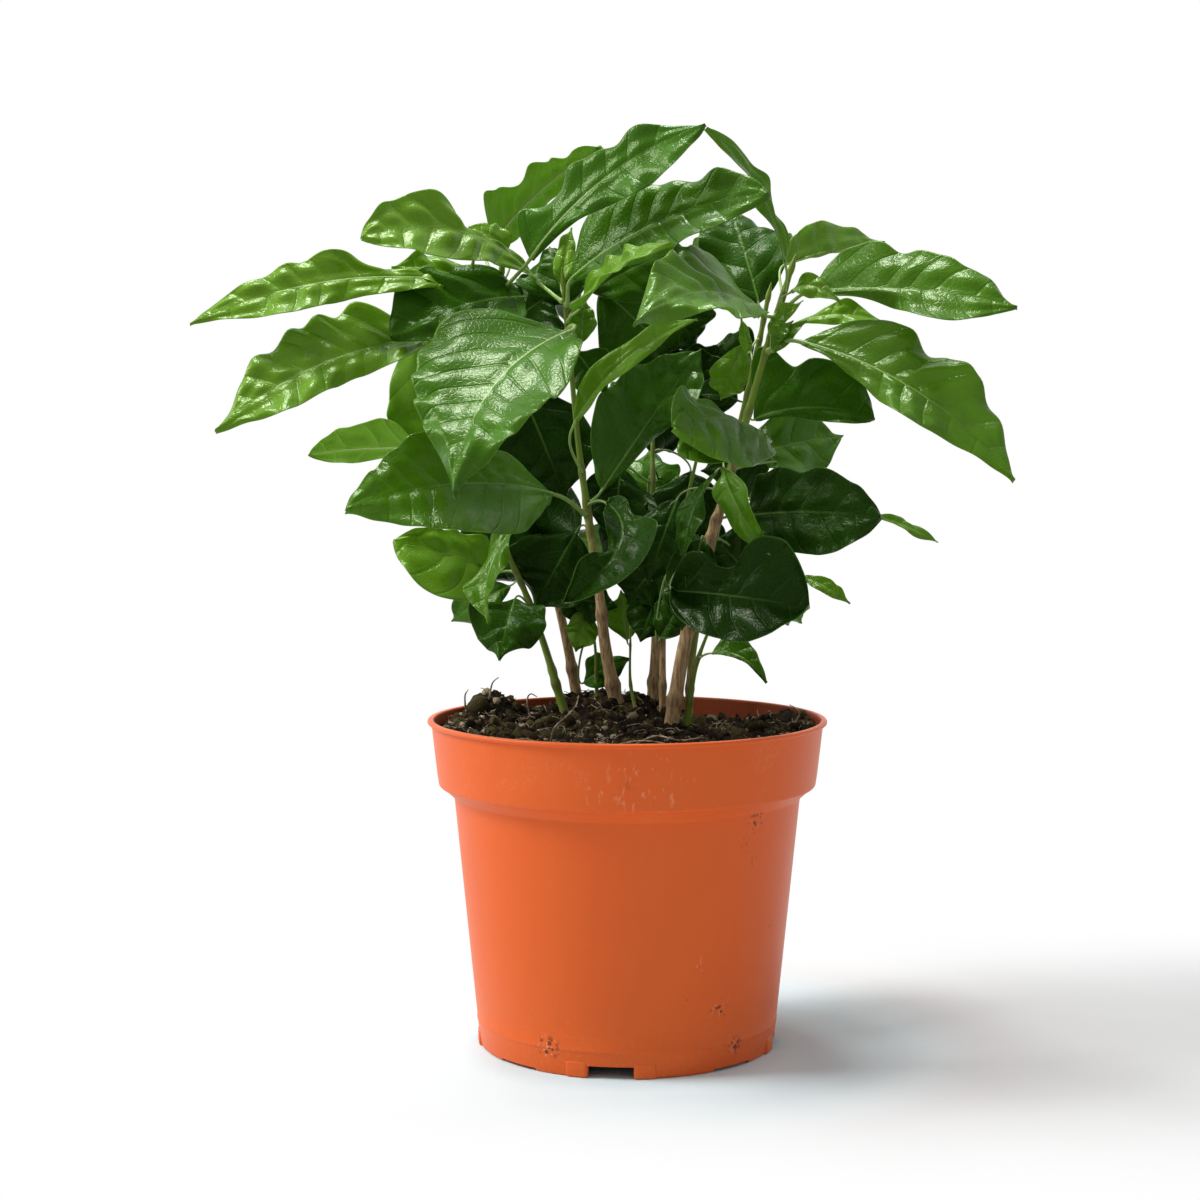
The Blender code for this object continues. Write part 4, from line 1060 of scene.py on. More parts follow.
def stem_mesh(stem, heights, slender):
    """A stem as a fine tube that swells at its nodes, where leaves and old scars sit."""
    path = stem_path(stem, STEM_ROWS)
    points = [p for p, _ in path]
    radii = np.array([r for _, r in path])
    radii *= 1 - slender * np.linspace(0, 1, len(radii)) ** 0.7
    level = np.array([p.z for p in points])
    swelling = np.zeros(len(points))
    for height in heights:
        swelling = np.maximum(swelling, np.exp(-(((level - height) / NODE_LENGTH) ** 2)))
    radii *= 1 + NODE_SWELLING * swelling
    tip, top = points[-1], radii[-1]
    heading = (tip - points[-4]).normalized()
    points += [tip + heading * BUD_LENGTH * share for share, _ in BUD]
    radii = np.append(radii, [top * thick for _, thick in BUD])
    swelling = np.append(swelling, np.zeros(len(BUD)))
    level = np.append(level, np.full(len(BUD), level[-1]))
    verts, faces = tube([list(p) for p in points], radii, STEM_SIDES)
    mesh = new_mesh("stem", verts.tolist(), faces)
    rise = ((level - level[1]) / (level[-1] - level[1])).clip(0, 1)
    wood = (stem.wood * 1.9 - rise * 2.2).clip(0, 1)
    chart = np.stack([wood, swelling, np.zeros(len(level))], axis=1)
    store(mesh, "stem_map", np.repeat(chart, STEM_SIDES, axis=0))
    return settle(mesh)


def node_heights(name):
    """Where a stem has nodes: at its leaves and about every internode below them."""
    heights = sorted(leaf.height for leaf in LEAVES.values() if leaf.stem == name)
    lowest = STEMS[name].points[0][2] + 9
    extra = np.arange(lowest, heights[0] - 8, INTERNODE).tolist() if heights else []
    return extra + heights


# ---- soil -------------------------------------------------------------------------------------
def soil_height(x, y):
    """The height of the soil's surface."""
    height = SOIL_LEVEL
    for mound_x, mound_y, rise, radius in SOIL_MOUNDS:
        height += rise * math.exp(-((x - mound_x) ** 2 + (y - mound_y) ** 2) / radius**2)
    wave = math.tau / SOIL_RIPPLE_LENGTH
    ripples = math.sin(x * wave + 1) * math.sin(y * wave) + 0.5 * math.sin(2 * wave * (x + y))
    return height + SOIL_RIPPLE_HEIGHT * ripples


def soil_mesh():
    """The peat as one solid: a crumbly top over the form of the pot's inside."""
    soil = bpy.context.scene.coffee_soil
    top = [(SOIL_EDGE * (k / SOIL_RINGS) ** 0.8, SOIL_LEVEL) for k in range(SOIL_RINGS)]
    mesh = turned_mesh("soil", [*top, *SOIL_SIDE], SOIL_SEGMENTS)
    for vertex in mesh.vertices:
        x, y, z = vertex.co
        if z > SOIL_LEVEL - 0.1:
            place = Vector((x, y, 0))
            lumps = noise.fractal(place / 5.5, 0.9, 2.1, 4)
            crumbs = noise.fractal(place / 1.7 + Vector((9, 0, 0)), 0.8, 2.2, 3)
            inside = 1 - min(1, max(0, math.hypot(x, y) - SOIL_EDGE + 1.5) / 1.5)
            rise = (lumps * 0.55 + crumbs * 0.32) * soil.roughness / MM * inside
            vertex.co.z = soil_height(x, y) + rise
    mesh.shade_smooth()
    return mesh


def open_ground(soil):
    """A copy of the soil's top alone, for crumbs to lie on."""
    ground = soil.copy()
    form = bmesh.new()
    form.from_mesh(ground)
    under = [f for f in form.faces if f.normal.z < 0.3 or f.calc_center_median().z < SOIL_LEVEL - 9]
    bmesh.ops.delete(form, geom=under, context="FACES")
    form.to_mesh(ground)
    form.free()
    return ground


def peat(name, crumb):
    """Dark moist peat with olive moss and reddish fibre."""
    soil = bpy.context.scene.coffee_soil
    paint = Paint(name)
    place = paint.place()
    fine = paint.noise(place, 900, 5, 0.65)
    broad = paint.noise(place, 110, 3)
    color = paint.mix(paint.step(fine, 0.47, 0.74) * paint.step(broad, 0.35, 0.6), soil.dark, soil.light)
    moss = paint.step(broad, 0.5, 0.62) * paint.step(fine, 0.38, 0.58)
    color = paint.mix(moss * soil.moss_cover, color, soil.moss)
    if crumb:
        tone, _, _ = paint.attribute("crumb_tone")
        color = paint.mix(paint.step(tone, 0.3, 0.1) * 0.35, color, soil.moss)
        color = paint.mix(paint.step(tone, 0.55, 1.0) * 0.7, color, soil.light)
        color = paint.mix(paint.step(tone, 0.89, 0.91) * 0.85, color, soil.pale)
    paint.set(Base_Color=color, Roughness=0.82 + 0.15 * fine)
    paint.set(Specular_IOR_Level=0.1)
    paint.bump(fine, 0.0009)
    return paint.material


def fibre_paint(name):
    """Streaked brown root skin."""
    soil = bpy.context.scene.coffee_soil
    paint = Paint(name)
    streaks = paint.noise(paint.place(), 500, 3)
    color = paint.mix(paint.step(streaks, 0.35, 0.65), soil.root_dark, soil.root)
    paint.set(Base_Color=color, Roughness=0.7 + 0.2 * streaks)
    paint.bump(streaks, 0.0002)
    return paint.material


def root_mesh():
    """Single bare roots that lie across the peat or stand up from it, as thin tapering tubes."""
    verts, faces = [], []
    for points in ROOTS:
        path = smooth_path(points, ROOT_ROWS)
        ring, sides = tube(path, np.linspace(*ROOT_RADII, len(path)), ROOT_SIDES)
        faces += [tuple(i + len(verts) for i in face) for face in sides]
        verts += ring.tolist()
    return settle(new_mesh("roots", verts, faces))


class Scatter(Tree):
    """A geometry group with named inputs, run as a modifier on a ground mesh."""

    def __init__(self, name, **inputs):
        self.group = bpy.data.node_groups.new(name, "GeometryNodeTree")
        super().__init__(self.group)
        face = self.group.interface
        face.new_socket("Geometry", in_out="INPUT", socket_type="NodeSocketGeometry")
        face.new_socket("Geometry", in_out="OUTPUT", socket_type="NodeSocketGeometry")
        self.values = inputs
        self.sockets = {}
        for label, value in inputs.items():
            kind = "NodeSocketInt" if isinstance(value, int) else "NodeSocketFloat"
            self.sockets[label] = face.new_socket(label, in_out="INPUT", socket_type=kind).identifier
        self.start = self.group.nodes.new("NodeGroupInput")
        self.end = self.group.nodes.new("NodeGroupOutput")

    def given(self, label):
        return Socket(self, self.start.outputs[label])

    def chance(self, low, high, seed):
        """A random number, or a random vector when low and high are vectors."""
        settings = {"data_type": "FLOAT_VECTOR" if isinstance(low, tuple) else "FLOAT"}
        return self.add("FunctionNodeRandomValue", settings, {"Min": low, "Max": high, "Seed": seed})

    def triple(self, value):
        """A vector of three times the same number."""
        return self.add("ShaderNodeCombineXYZ", {}, dict.fromkeys("XYZ", value))

    def strewn(self, piece, turn, scale):
        """Instances of a piece at random points of the ground."""
        inputs = {"Mesh": self.given("Geometry")}
        inputs |= {label: self.given(label) for label in ("Density", "Seed")}
        points = self.add("GeometryNodeDistributePointsOnFaces", {}, inputs)
        inputs = {"Points": points, "Instance": piece, "Rotation": turn, "Scale": scale}
        return self.add("GeometryNodeInstanceOnPoints", {}, inputs)

    def close(self, geometry, material):
        """Realize Instances and Set Material end the group."""
        real = self.add("GeometryNodeRealizeInstances", {}, {"Geometry": geometry})
        smooth = self.add("GeometryNodeSetShadeSmooth", {}, {"Geometry": real})
        done = self.add("GeometryNodeSetMaterial", {}, {"Geometry": smooth, "Material": material})
        self.feed(self.end.inputs[0], done)

    def run(self, name, ground):
        """The group's result on a ground mesh, as a plain mesh in its place in the frame."""
        holder = linked_object(name, ground)
        modifier = holder.modifiers.new(name, "NODES")
        modifier.node_group = self.group
        for label, value in self.values.items():
            modifier[self.sockets[label]] = value
        mesh = evaluated_mesh(holder)
        bpy.data.objects.remove(holder)
        return settle(mesh)


def crumb_group(name, material, density, sizes, detail, seed):
    """Crumbs of peat: small lumps of uneven size and turn, pressed into the ground."""
    smallest, largest = sizes
    group = Scatter(name, Density=density, Smallest=smallest, Largest=largest, Edge=CRUMB_EDGE, Seed=seed)
    seed = group.given("Seed")
    lump = group.add("GeometryNodeMeshIcoSphere", {}, {"Radius": 1.0, "Subdivisions": detail})
    where = group.add("GeometryNodeInputPosition", {}, {})
    shove = group.scaled(where, 1.7 * group.noise(where, 1.5, 3.0, 0.6) - 0.85)
    lump = group.add("GeometryNodeSetPosition", {}, {"Geometry": lump, "Offset": shove})
    spread = group.given("Largest") - group.given("Smallest")
    size = group.given("Smallest") + group.chance(0.0, 1.0, seed) ** 3.0 * spread
    from_axis = group.vectors("LENGTH", group.vectors("MULTIPLY", where, (1.0, 1.0, 0.0))).other("Value")
    room = group.largest((group.given("Edge") - from_axis) * 0.8, 0.3)
    size = group.math("MINIMUM", size, room)
    shape = group.scaled(group.chance((0.6, 0.6, 0.45), (1.3, 1.1, 0.9), seed + 1), size)
    turn = group.chance((0, 0, 0), (math.tau, math.tau, math.tau), seed + 2)
    settings = {"data_type": "FLOAT_VECTOR", "domain": "INSTANCE"}
    inputs = {"Name": "crumb_tone", "Value": group.triple(group.chance(0.0, 1.0, seed + 3))}
    inputs["Geometry"] = group.strewn(lump, turn, shape)
    group.close(group.add("GeometryNodeStoreNamedAttribute", settings, inputs), material)
    return group


def fibre_group(material):
    """Loose root fibres: short bent threads that lie on the ground."""
    group = Scatter("fibres", **FIBRES)
    seed = group.given("Seed")
    line = group.add("GeometryNodeCurvePrimitiveLine", {}, {"Start": (-0.5, 0, 0), "End": (0.5, 0, 0)})
    line = group.add("GeometryNodeResampleCurve", {}, {"Curve": line, "Count": 9})
    length = group.given("Length") * group.chance(0.35, 1.3, seed + 1)
    turn = group.chance((-0.35, -0.35, 0), (0.35, 0.35, math.tau), seed + 2)
    placed = group.strewn(line, turn, group.triple(length))
    real = group.add("GeometryNodeRealizeInstances", {}, {"Geometry": placed})
    where = group.add("GeometryNodeInputPosition", {}, {})
    wander = group.noise(where, 0.35, 1.0).other("Color")
    shove = group.scaled(group.vectors("SUBTRACT", wander, (0.5, 0.5, 0.42)), 5.0)
    bent = group.add("GeometryNodeSetPosition", {}, {"Geometry": real, "Offset": shove})
    inputs = {"Resolution": 5, "Radius": group.given("Radius")}
    ring = group.add("GeometryNodeCurvePrimitiveCircle", {}, inputs)
    inputs = {"Curve": bent, "Profile Curve": ring, "Fill Caps": True}
    group.close(group.add("GeometryNodeCurveToMesh", {}, inputs), material)
    return group


# ---- pot --------------------------------------------------------------------------------------
def pot_profile():
    """The pot's half section: its floor, up the inside, over the lip, down the outside and under."""
    slope = math.degrees(math.atan2(BODY_TOP_RADIUS - FOOT_RADIUS, BODY_TOP_Z))
    inside_foot, inside_collar = BODY_TOP_RADIUS - WALL, COLLAR_FOOT_RADIUS - WALL
    lip_z = POT_HEIGHT - LIP_BEAD
    return [
        (0, FLOOR_Z + WALL),
        *arc((body_radius(FLOOR_Z + WALL) - WALL - 1.5, FLOOR_Z + WALL + 1.5), 1.5, -90, -slope, 6),
        *straight((body_radius(8) - WALL, 8), (inside_foot, BODY_TOP_Z + 0.6), 10),
        (inside_foot, BODY_TOP_Z + 1.0),
        *straight((inside_foot + 0.4, BODY_TOP_Z + 1.4), (inside_collar - 0.5, COLLAR_FOOT_Z + 0.8), 2),
        *straight((inside_collar, COLLAR_FOOT_Z + 1.5), (COLLAR_TOP_RADIUS - WALL, lip_z - 0.3), 5),
        *arc((LIP_RADIUS - LIP_BEAD / 2 - 0.9, POT_HEIGHT - LIP_BEAD / 2), LIP_BEAD / 2, 180, 90, 6),
        *arc((LIP_RADIUS - LIP_BEAD / 2, POT_HEIGHT - LIP_BEAD / 2), LIP_BEAD / 2, 90, -80, 12),
        *arc((COLLAR_TOP_RADIUS + 0.35, lip_z - 0.4), 0.4, 100, 180, 4),
        *straight(
            (collar_radius(COLLAR_END_Z), COLLAR_END_Z), (collar_radius(COLLAR_START_Z), COLLAR_START_Z), 8
        ),
        *arc((COLLAR_FOOT_RADIUS - 1.0, COLLAR_FOOT_Z + 1.0), 1.0, 0, -60, 6),
        *straight(
            (COLLAR_FOOT_RADIUS - 1.3, COLLAR_FOOT_Z - 0.2), (BODY_TOP_RADIUS + 0.9, BODY_TOP_Z + 0.8), 2
        ),
        *arc((BODY_TOP_RADIUS + 1.4, BODY_TOP_Z - 0.6), 1.4, 130, 180, 5),
        *straight((body_radius(BODY_END_Z), BODY_END_Z), (body_radius(SEAM_Z + 0.7), SEAM_Z + 0.7), 10),
        (body_radius(SEAM_Z + 0.45), SEAM_Z + 0.45),
        (body_radius(SEAM_Z + 0.2) + SEAM_RISE, SEAM_Z + 0.2),
        (body_radius(SEAM_Z - 0.2) + SEAM_RISE, SEAM_Z - 0.2),
        (body_radius(SEAM_Z - 0.45), SEAM_Z - 0.45),
        *straight((body_radius(SEAM_Z - 0.7), SEAM_Z - 0.7), (body_radius(1.2), 1.2), 3),
        *arc((FOOT_RADIUS - 0.9, 0.9), 0.9, -10, -90, 6),
        (FOOT_RADIUS - 1.9, 0),
        *arc((FOOT_RADIUS - 2.4, 0.5), 0.5, -20, 0, 2),
        (FOOT_RADIUS - 2.1, FLOOR_Z - 0.8),
        *arc((FOOT_RADIUS - 2.9, FLOOR_Z - 0.8), 0.8, 0, 90, 4),
        (0, FLOOR_Z),
    ]


def body_radius(z):
    """The outer radius of the pot's body below the collar."""
    return FOOT_RADIUS + (BODY_TOP_RADIUS - FOOT_RADIUS) * z / BODY_TOP_Z


def collar_radius(z):
    """The outer radius of the pot's collar."""
    rise = (z - COLLAR_FOOT_Z) / (POT_HEIGHT - LIP_BEAD - COLLAR_FOOT_Z)
    return COLLAR_FOOT_RADIUS + (COLLAR_TOP_RADIUS - COLLAR_FOOT_RADIUS) * rise


def outer_radius(z):
    """The outer radius of the pot at a height."""
    return body_radius(z) if z < COLLAR_FOOT_Z else collar_radius(z)


def rounded_block(name, bearing, radius, size, lift, rounding):
    """A block with rounded edges at a bearing from the front; size is width, depth and height."""
    form = bmesh.new()
    bmesh.ops.create_cube(form, size=1.0)
    bmesh.ops.scale(form, vec=size, verts=form.verts)
    bmesh.ops.bevel(form, geom=form.edges, offset=rounding, segments=3, affect="EDGES", profile=0.5)
    turn = Matrix.Rotation(math.radians(bearing), 3, "Z")
    bmesh.ops.rotate(form, cent=(0, 0, 0), matrix=turn, verts=form.verts)
    bmesh.ops.translate(form, vec=in_turn(bearing, radius, lift), verts=form.verts)
    return linked_object(name, formed_mesh(name, form))


def drill(name, bearing):
    """The cutter of a drain hole."""
    form = bmesh.new()
    bmesh.ops.create_cone(
        form, cap_ends=True, segments=32, radius1=DRAIN_RADIUS, radius2=DRAIN_RADIUS, depth=6
    )
    bmesh.ops.translate(form, vec=in_turn(bearing, DRAIN_RING_RADIUS, FLOOR_Z), verts=form.verts)
    return linked_object(name, formed_mesh(name, form))


def pot_mesh():
    """The moulded pot: turned, then notched at the foot and drilled in the floor."""
    pot = linked_object("turned_pot", turned_mesh("turned_pot", pot_profile(), POT_SEGMENTS))
    cutters, pads = [], []
    for k in range(NOTCH_COUNT):
        bearing = NOTCH_BEARING + k * 360 / NOTCH_COUNT
        cutters.append(rounded_block("notch", bearing, FOOT_RADIUS - 1, NOTCH, 0.0, 0.9))
        between = bearing + RELIEF_TURN
        cutters.append(rounded_block("relief", between, FOOT_RADIUS - 1, RELIEF, -0.3, 0.5))
        for turn in (-PAD_TURN, PAD_TURN):
            pads.append(rounded_block("pad", bearing + turn, FOOT_RADIUS - 0.6, PAD, 2.45, 0.7))
    for k in range(DRAIN_COUNT):
        cutters.append(drill("drain", DRAIN_BEARING + k * 360 / DRAIN_COUNT))
    for cutter in [*cutters, *pads]:
        boolean = pot.modifiers.new(cutter.name, "BOOLEAN")
        boolean.operation = "UNION" if cutter in pads else "DIFFERENCE"
        boolean.solver = "EXACT"
        boolean.object = cutter
    mesh = evaluated_mesh(pot)
    for obj in [pot, *cutters, *pads]:
        bpy.data.objects.remove(obj)
    mesh.shade_smooth()
    mesh.set_sharp_from_angle(angle=math.radians(SHARP_EDGE))
    for face in mesh.polygons:
        face.material_index = int(is_inside(face))
    return settle(mesh)


def is_inside(face):
    """Whether a face of the pot is inside it, on a ledge of its inside or under its floor."""
    x, y, z = face.center
    radius = math.hypot(x, y)
    outward = (face.normal.x * x + face.normal.y * y) / max(1, radius)
    if z > FLOOR_Z + 0.5:
        return outward < -0.2 or (face.normal.z > 0.8 and z < BODY_TOP_Z)
    return (outward < -0.2 or face.normal.z < -0.8) and radius < FOOT_RADIUS - 1.5


def splashes(paint, place, mottle):
    """Where the dark splashes are, and where any are."""
    dark_ones, all_of_them = 0.0, 0.0
    for bearing, height, reach, dark in SPLASHES:
        centre = AXIS + in_turn(bearing, outer_radius(height), height) * MM
        distance = paint.vectors("DISTANCE", place, centre).other("Value")
        near = paint.step(distance + 0.003 * mottle, reach * MM, reach * MM * 0.4)
        if dark:
            dark_ones = paint.largest(dark_ones, near)
        all_of_them = paint.largest(all_of_them, near)
    return dark_ones, all_of_them


def terracotta_plastic(name, inside):
    """Moulded plastic: fine grain, faint flow marks, dust on the collar and damp stains inside.
    The pale glints beside the dark splashes are painted highlights. The dark stain inside is also
    painted shade, and the faces under the floor get painted shade as well.
    """
    settings = bpy.context.scene.coffee_pot
    paint = Paint(name)
    place = paint.place()
    _, _, z = paint.split(place)
    flow = paint.noise(paint.stretched(place, (1.0, 1.0, 0.12)), 90, 3)
    mottle = paint.noise(place, 45, 4, 0.6)
    color = paint.mix(0.55 * flow + 0.45 * mottle, settings.plastic_dark, settings.plastic)
    grit = paint.noise(place, 900, 4, 0.7)
    dust = paint.step(mottle, 0.5, 0.75) * paint.step(z, 0.066, 0.09) * paint.step(grit, 0.42, 0.7)
    dust = paint.largest(dust, paint.step(z, 0.03, 0.0) * paint.step(grit, 0.5, 0.75) * 0.6)
    color = paint.mix(dust * settings.dust, color, settings.dust_and_glint_color)
    smear = paint.stretched(place, (1.0, 1.0, 0.45))
    fine_spots = paint.step(paint.noise(smear, 620, 2, 0.5, 0.6), 0.6, 0.68)
    spots = paint.step(paint.cells(place, 620) + 0.5 * mottle, 0.66, 0.56)
    # Pale dots beside the dark splashes: painted highlights, as on the lit side of stuck crumbs.
    painted_glint = paint.step(paint.cells(place, 900) + 0.5 * mottle, 0.5, 0.42)
    dark_splash, splash = splashes(paint, place, mottle)
    rare = paint.step(paint.noise(place, 34, 2), 0.66, 0.72)
    brown = paint.largest(dark_splash, rare * 0.35) * spots
    # Pale dried flecks, together with the painted highlight dots in the dark splashes.
    pale_flecks_and_glints = paint.largest(splash * fine_spots, dark_splash * painted_glint * 1.6)
    color = paint.mix(pale_flecks_and_glints * 0.28, color, settings.dust_and_glint_color)
    color = paint.mix(brown * 0.85, color, settings.dirt)
    # Inside faces: a damp stain that is also painted shade, and painted shade lowest down.
    if inside:
        color = paint.mix(0.6 + 0.3 * grit, color, settings.stain_and_shade)
        color = paint.mix(paint.step(z, 0.012, 0.008), color, UNDERSIDE_SHADE)
    roughness = settings.roughness + 0.1 * mottle + 0.25 * dust + (0.2 if inside else 0.0)
    paint.set(Base_Color=color, Roughness=roughness)
    paint.set(Specular_IOR_Level=0.3, Specular_Tint=(1.0, 0.75, 0.55, 1.0))
    paint.bump(paint.noise(place, 2600, 2) + 0.6 * flow + 3.0 * brown, 0.00006)
    return paint.material


# ---- settings, shown in the sidebar -----------------------------------------------------------
def color_setting(name, description, value):
    return bpy.props.FloatVectorProperty(
        name=name, description=description, default=value, subtype="COLOR", size=3, min=0.0, max=1.0
    )


def share_setting(name, description, value):
    return bpy.props.FloatProperty(name=name, description=description, default=value, min=0, max=1)


class PotSettings(bpy.types.PropertyGroup):
    """Finish of the nursery pot."""

    plastic: color_setting("Plastic", "Colour of the moulded plastic", (0.80, 0.137, 0.025))
    plastic_dark: color_setting("Darker plastic", "Colour of its flow marks", (0.74, 0.112, 0.020))
    # The stain colour is also painted shade inside the pot and under its floor.
    stain_and_shade: color_setting("Stain", "Colour of the damp inside", (0.10, 0.022, 0.01))
    # The dust colour also paints the highlight dots beside the dark splashes.
    dust_and_glint_color: color_setting("Dust", "Colour of dried splashes", (0.85, 0.5, 0.33))
    dirt: color_setting("Dirt", "Colour of stuck peat specks", (0.13, 0.028, 0.009))
    dust: share_setting("Dust cover", "How much dust shows", 0.18)
    roughness: share_setting("Roughness", "Roughness of the clean plastic", 0.36)


class SoilSettings(bpy.types.PropertyGroup):
    """Finish of the peat."""

    dark: color_setting("Dark peat", "Colour of the moist peat", (0.008, 0.005, 0.0025))
    light: color_setting("Light peat", "Colour of dry crumbs", (0.10, 0.060, 0.026))
    pale: color_setting("Pale bits", "Colour of the palest chips", (0.42, 0.33, 0.22))
    moss: color_setting("Moss", "Colour of the moss on the peat", (0.12, 0.10, 0.035))
    root: color_setting("Root", "Colour of pale root fibres", (0.5, 0.38, 0.24))
    root_dark: color_setting("Dark root", "Colour of dark root fibres", (0.10, 0.06, 0.035))
    moss_cover: share_setting("Moss cover", "How strongly the moss shows", 0.5)
    roughness: bpy.props.FloatProperty(
        name="Crumbliness", description="Height of the lumps", default=0.0030, min=0, unit="LENGTH"
    )
    crumb_density: bpy.props.FloatProperty(
        name="Crumbs", description="Crumbs per square millimetre of ground", default=0.16, min=0
    )


class StemSettings(bpy.types.PropertyGroup):
    """Finish of the stems."""

    green: color_setting("Green skin", "Colour of young stems", (0.11, 0.18, 0.012))
    green_light: color_setting("Light green skin", "Colour of the newest stems", (0.165, 0.25, 0.024))
    bark: color_setting("Bark", "Colour of the bark's ridges", (0.56, 0.38, 0.20))
    bark_dark: color_setting("Dark bark", "Colour of the bark's fissures", (0.27, 0.165, 0.075))
    node: color_setting("Node", "Colour of the rings at the nodes", (0.10, 0.06, 0.03))


class LeafSettings(bpy.types.PropertyGroup):
    """Finish of the leaves, from young to old; the darker colours also serve as painted shade."""

    young: color_setting("Young leaf", "Upper face of a young leaf", (0.14, 0.29, 0.014))
    mature: color_setting("Mature leaf", "Upper face of a grown leaf", (0.04, 0.135, 0.003))
    old: color_setting("Old leaf", "Upper face of an old leaf", (0.008, 0.032, 0.0015))
    young_vein: color_setting("Young vein", "Veins of a young leaf", (0.26, 0.45, 0.07))
    old_vein: color_setting("Old vein", "Veins of an old leaf", (0.08, 0.18, 0.035))
    young_under: color_setting("Young underside", "Underside of a young leaf", (0.17, 0.36, 0.03))
    old_under: color_setting("Old underside", "Underside of an old leaf", (0.06, 0.16, 0.02))
    young_petiole: color_setting("Young petiole", "Leaf stalk of a young leaf", (0.26, 0.42, 0.08))
    old_petiole: color_setting("Old petiole", "Leaf stalk of an old leaf", (0.12, 0.20, 0.04))
    roughness: share_setting("Roughness", "Roughness of the upper face", 0.23)
    translucency: share_setting("Translucency", "Share of light that passes through", 0.3)


class StageSettings(bpy.types.PropertyGroup):
    """Floor, light and camera."""

    distance: bpy.props.FloatProperty(
        name="Distance", description="From the camera to the pot's axis", default=0.6994, unit="LENGTH"
    )
    height: bpy.props.FloatProperty(
        name="Height", description="Height of the camera", default=0.1856, unit="LENGTH"
    )
    key_power: bpy.props.FloatProperty(
        name="Key light",
        description="Power of the large soft light at the upper left, in watts",
        default=10.8,
    )
    top_power: bpy.props.FloatProperty(
        name="Top light", description="Power of the light overhead, in watts", default=12.5
    )
    room_light: bpy.props.FloatProperty(
        name="Room light", description="Strength of the even light from all round", default=0.39
    )


SETTINGS = {
    "coffee_pot": PotSettings,
    "coffee_soil": SoilSettings,
    "coffee_stems": StemSettings,
    "coffee_leaves": LeafSettings,
    "coffee_stage": StageSettings,
}


# ---- operators --------------------------------------------------------------------------------
class MakePot(bpy.types.Operator):
    """Make the moulded nursery pot"""

    bl_idname = "coffee_plant.make_pot"
    bl_label = "Pot"

    def execute(self, context):
        mesh = pot_mesh()
        mesh.materials.append(terracotta_plastic("terracotta_plastic", False))
        # The stained inside is also painted shade.
        mesh.materials.append(terracotta_plastic("stained_and_shaded_plastic", True))
        add_piece("nursery_pot", mesh, "pot_plastic", "pot")
        return {"FINISHED"}


class MakeSoil(bpy.types.Operator):
    """Make the peat with its crumbs and root fibres"""

    bl_idname = "coffee_plant.make_soil"
    bl_label = "Soil"

    def execute(self, context):
        mesh = soil_mesh()
        ground = open_ground(mesh)
        mesh.materials.append(peat("peat", False))
        add_piece("peat_soil", settle(mesh), "soil_peat", "soil")
        crumb_peat = peat("peat_crumb", True)
        density = context.scene.coffee_soil.crumb_density
        crumbs = crumb_group("crumbs", crumb_peat, density, CRUMB_SIZES, 1, 7)
        clods = crumb_group("clods", crumb_peat, density * CLOD_SHARE, CLOD_SIZES, 2, 21)
        fibres = fibre_group(fibre_paint("root_fibre"))
        add_piece("peat_crumbs", crumbs.run("crumbs", ground), "soil_peat")
        add_piece("peat_clods", clods.run("clods", ground), "soil_peat")
        add_piece("root_fibres", fibres.run("fibres", ground), "soil_peat")
        roots = root_mesh()
        roots.materials.append(fibre_paint("bare_root"))
        add_piece("bare_roots", roots, "soil_peat")
        return {"FINISHED"}


class MakeStems(bpy.types.Operator):
    """Make the stems with their nodes"""

    bl_idname = "coffee_plant.make_stems"
    bl_label = "Stems"

    def execute(self, context):
        skins = {slot: stem_skin(slot) for slot in ("stem_green", "stem_bark")}
        for name, stem in STEMS.items():
            slot = "stem_green" if stem.wood < WOODY else "stem_bark"
            mesh = stem_mesh(stem, node_heights(name), SLENDER.get(name, USUAL_SLENDER))
            mesh.materials.append(skins[slot])
            add_piece(f"coffee_stem_{name}", mesh, slot, f"stem_{name}")
        return {"FINISHED"}


class MakeLeaves(bpy.types.Operator):
    """Make the leaves with their petioles"""

    bl_idname = "coffee_plant.make_leaves"
    bl_label = "Leaves"

    def execute(self, context):
        skins = {slot: (upper_leaf(slot), under_leaf(slot), petiole_skin(slot)) for slot, _ in LEAF_SLOTS}
        for seed, (name, leaf) in enumerate(LEAVES.items()):
            mesh = leaf_mesh(name, leaf, seed)
            slot = leaf_slot(leaf.age)
            for skin in skins[slot]:
                mesh.materials.append(skin)
            nodes = [f"leaf_{name}"] if f"leaf_{name}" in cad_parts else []
            add_piece(f"coffee_leaf_{name}", mesh, slot, *nodes)
        return {"FINISHED"}


class MakeStage(bpy.types.Operator):
    """Make the floor, the lights and the camera"""

    bl_idname = "coffee_plant.make_stage"
    bl_label = "Stage"

    def execute(self, context):
        stage = context.scene.coffee_stage
        make_floor()
        light_room(context.scene, stage.room_light)
        make_lamp("key_light", KEY_PLACE, KEY_SIZE, stage.key_power)
        make_lamp("top_light", TOP_PLACE, TOP_SIZE, stage.top_power)
        camera = linked_object("camera", bpy.data.cameras.new("camera"))
        camera.data.sensor_width = 36
        camera.data.lens = CAMERA_LENS
        camera.data.clip_start = 0.01
        camera.location = AXIS + Vector((0, -stage.distance, stage.height))
        camera.rotation_euler = (math.radians(90 - CAMERA_PITCH), 0, math.radians(CAMERA_YAW))
        context.scene.camera = camera
        context.scene.view_settings.view_transform = "Standard"
        return {"FINISHED"}


def seen_directly(paint):
    """1 for what the camera sees, also in a reflection or through glass."""
    path = paint.add("ShaderNodeLightPath", {}, {})
    seen = paint.math("ADD", path.other("Is Camera Ray"), path.other("Is Glossy Ray"), clamp=True)
    return paint.math("ADD", seen, path.other("Is Transmission Ray"), clamp=True)


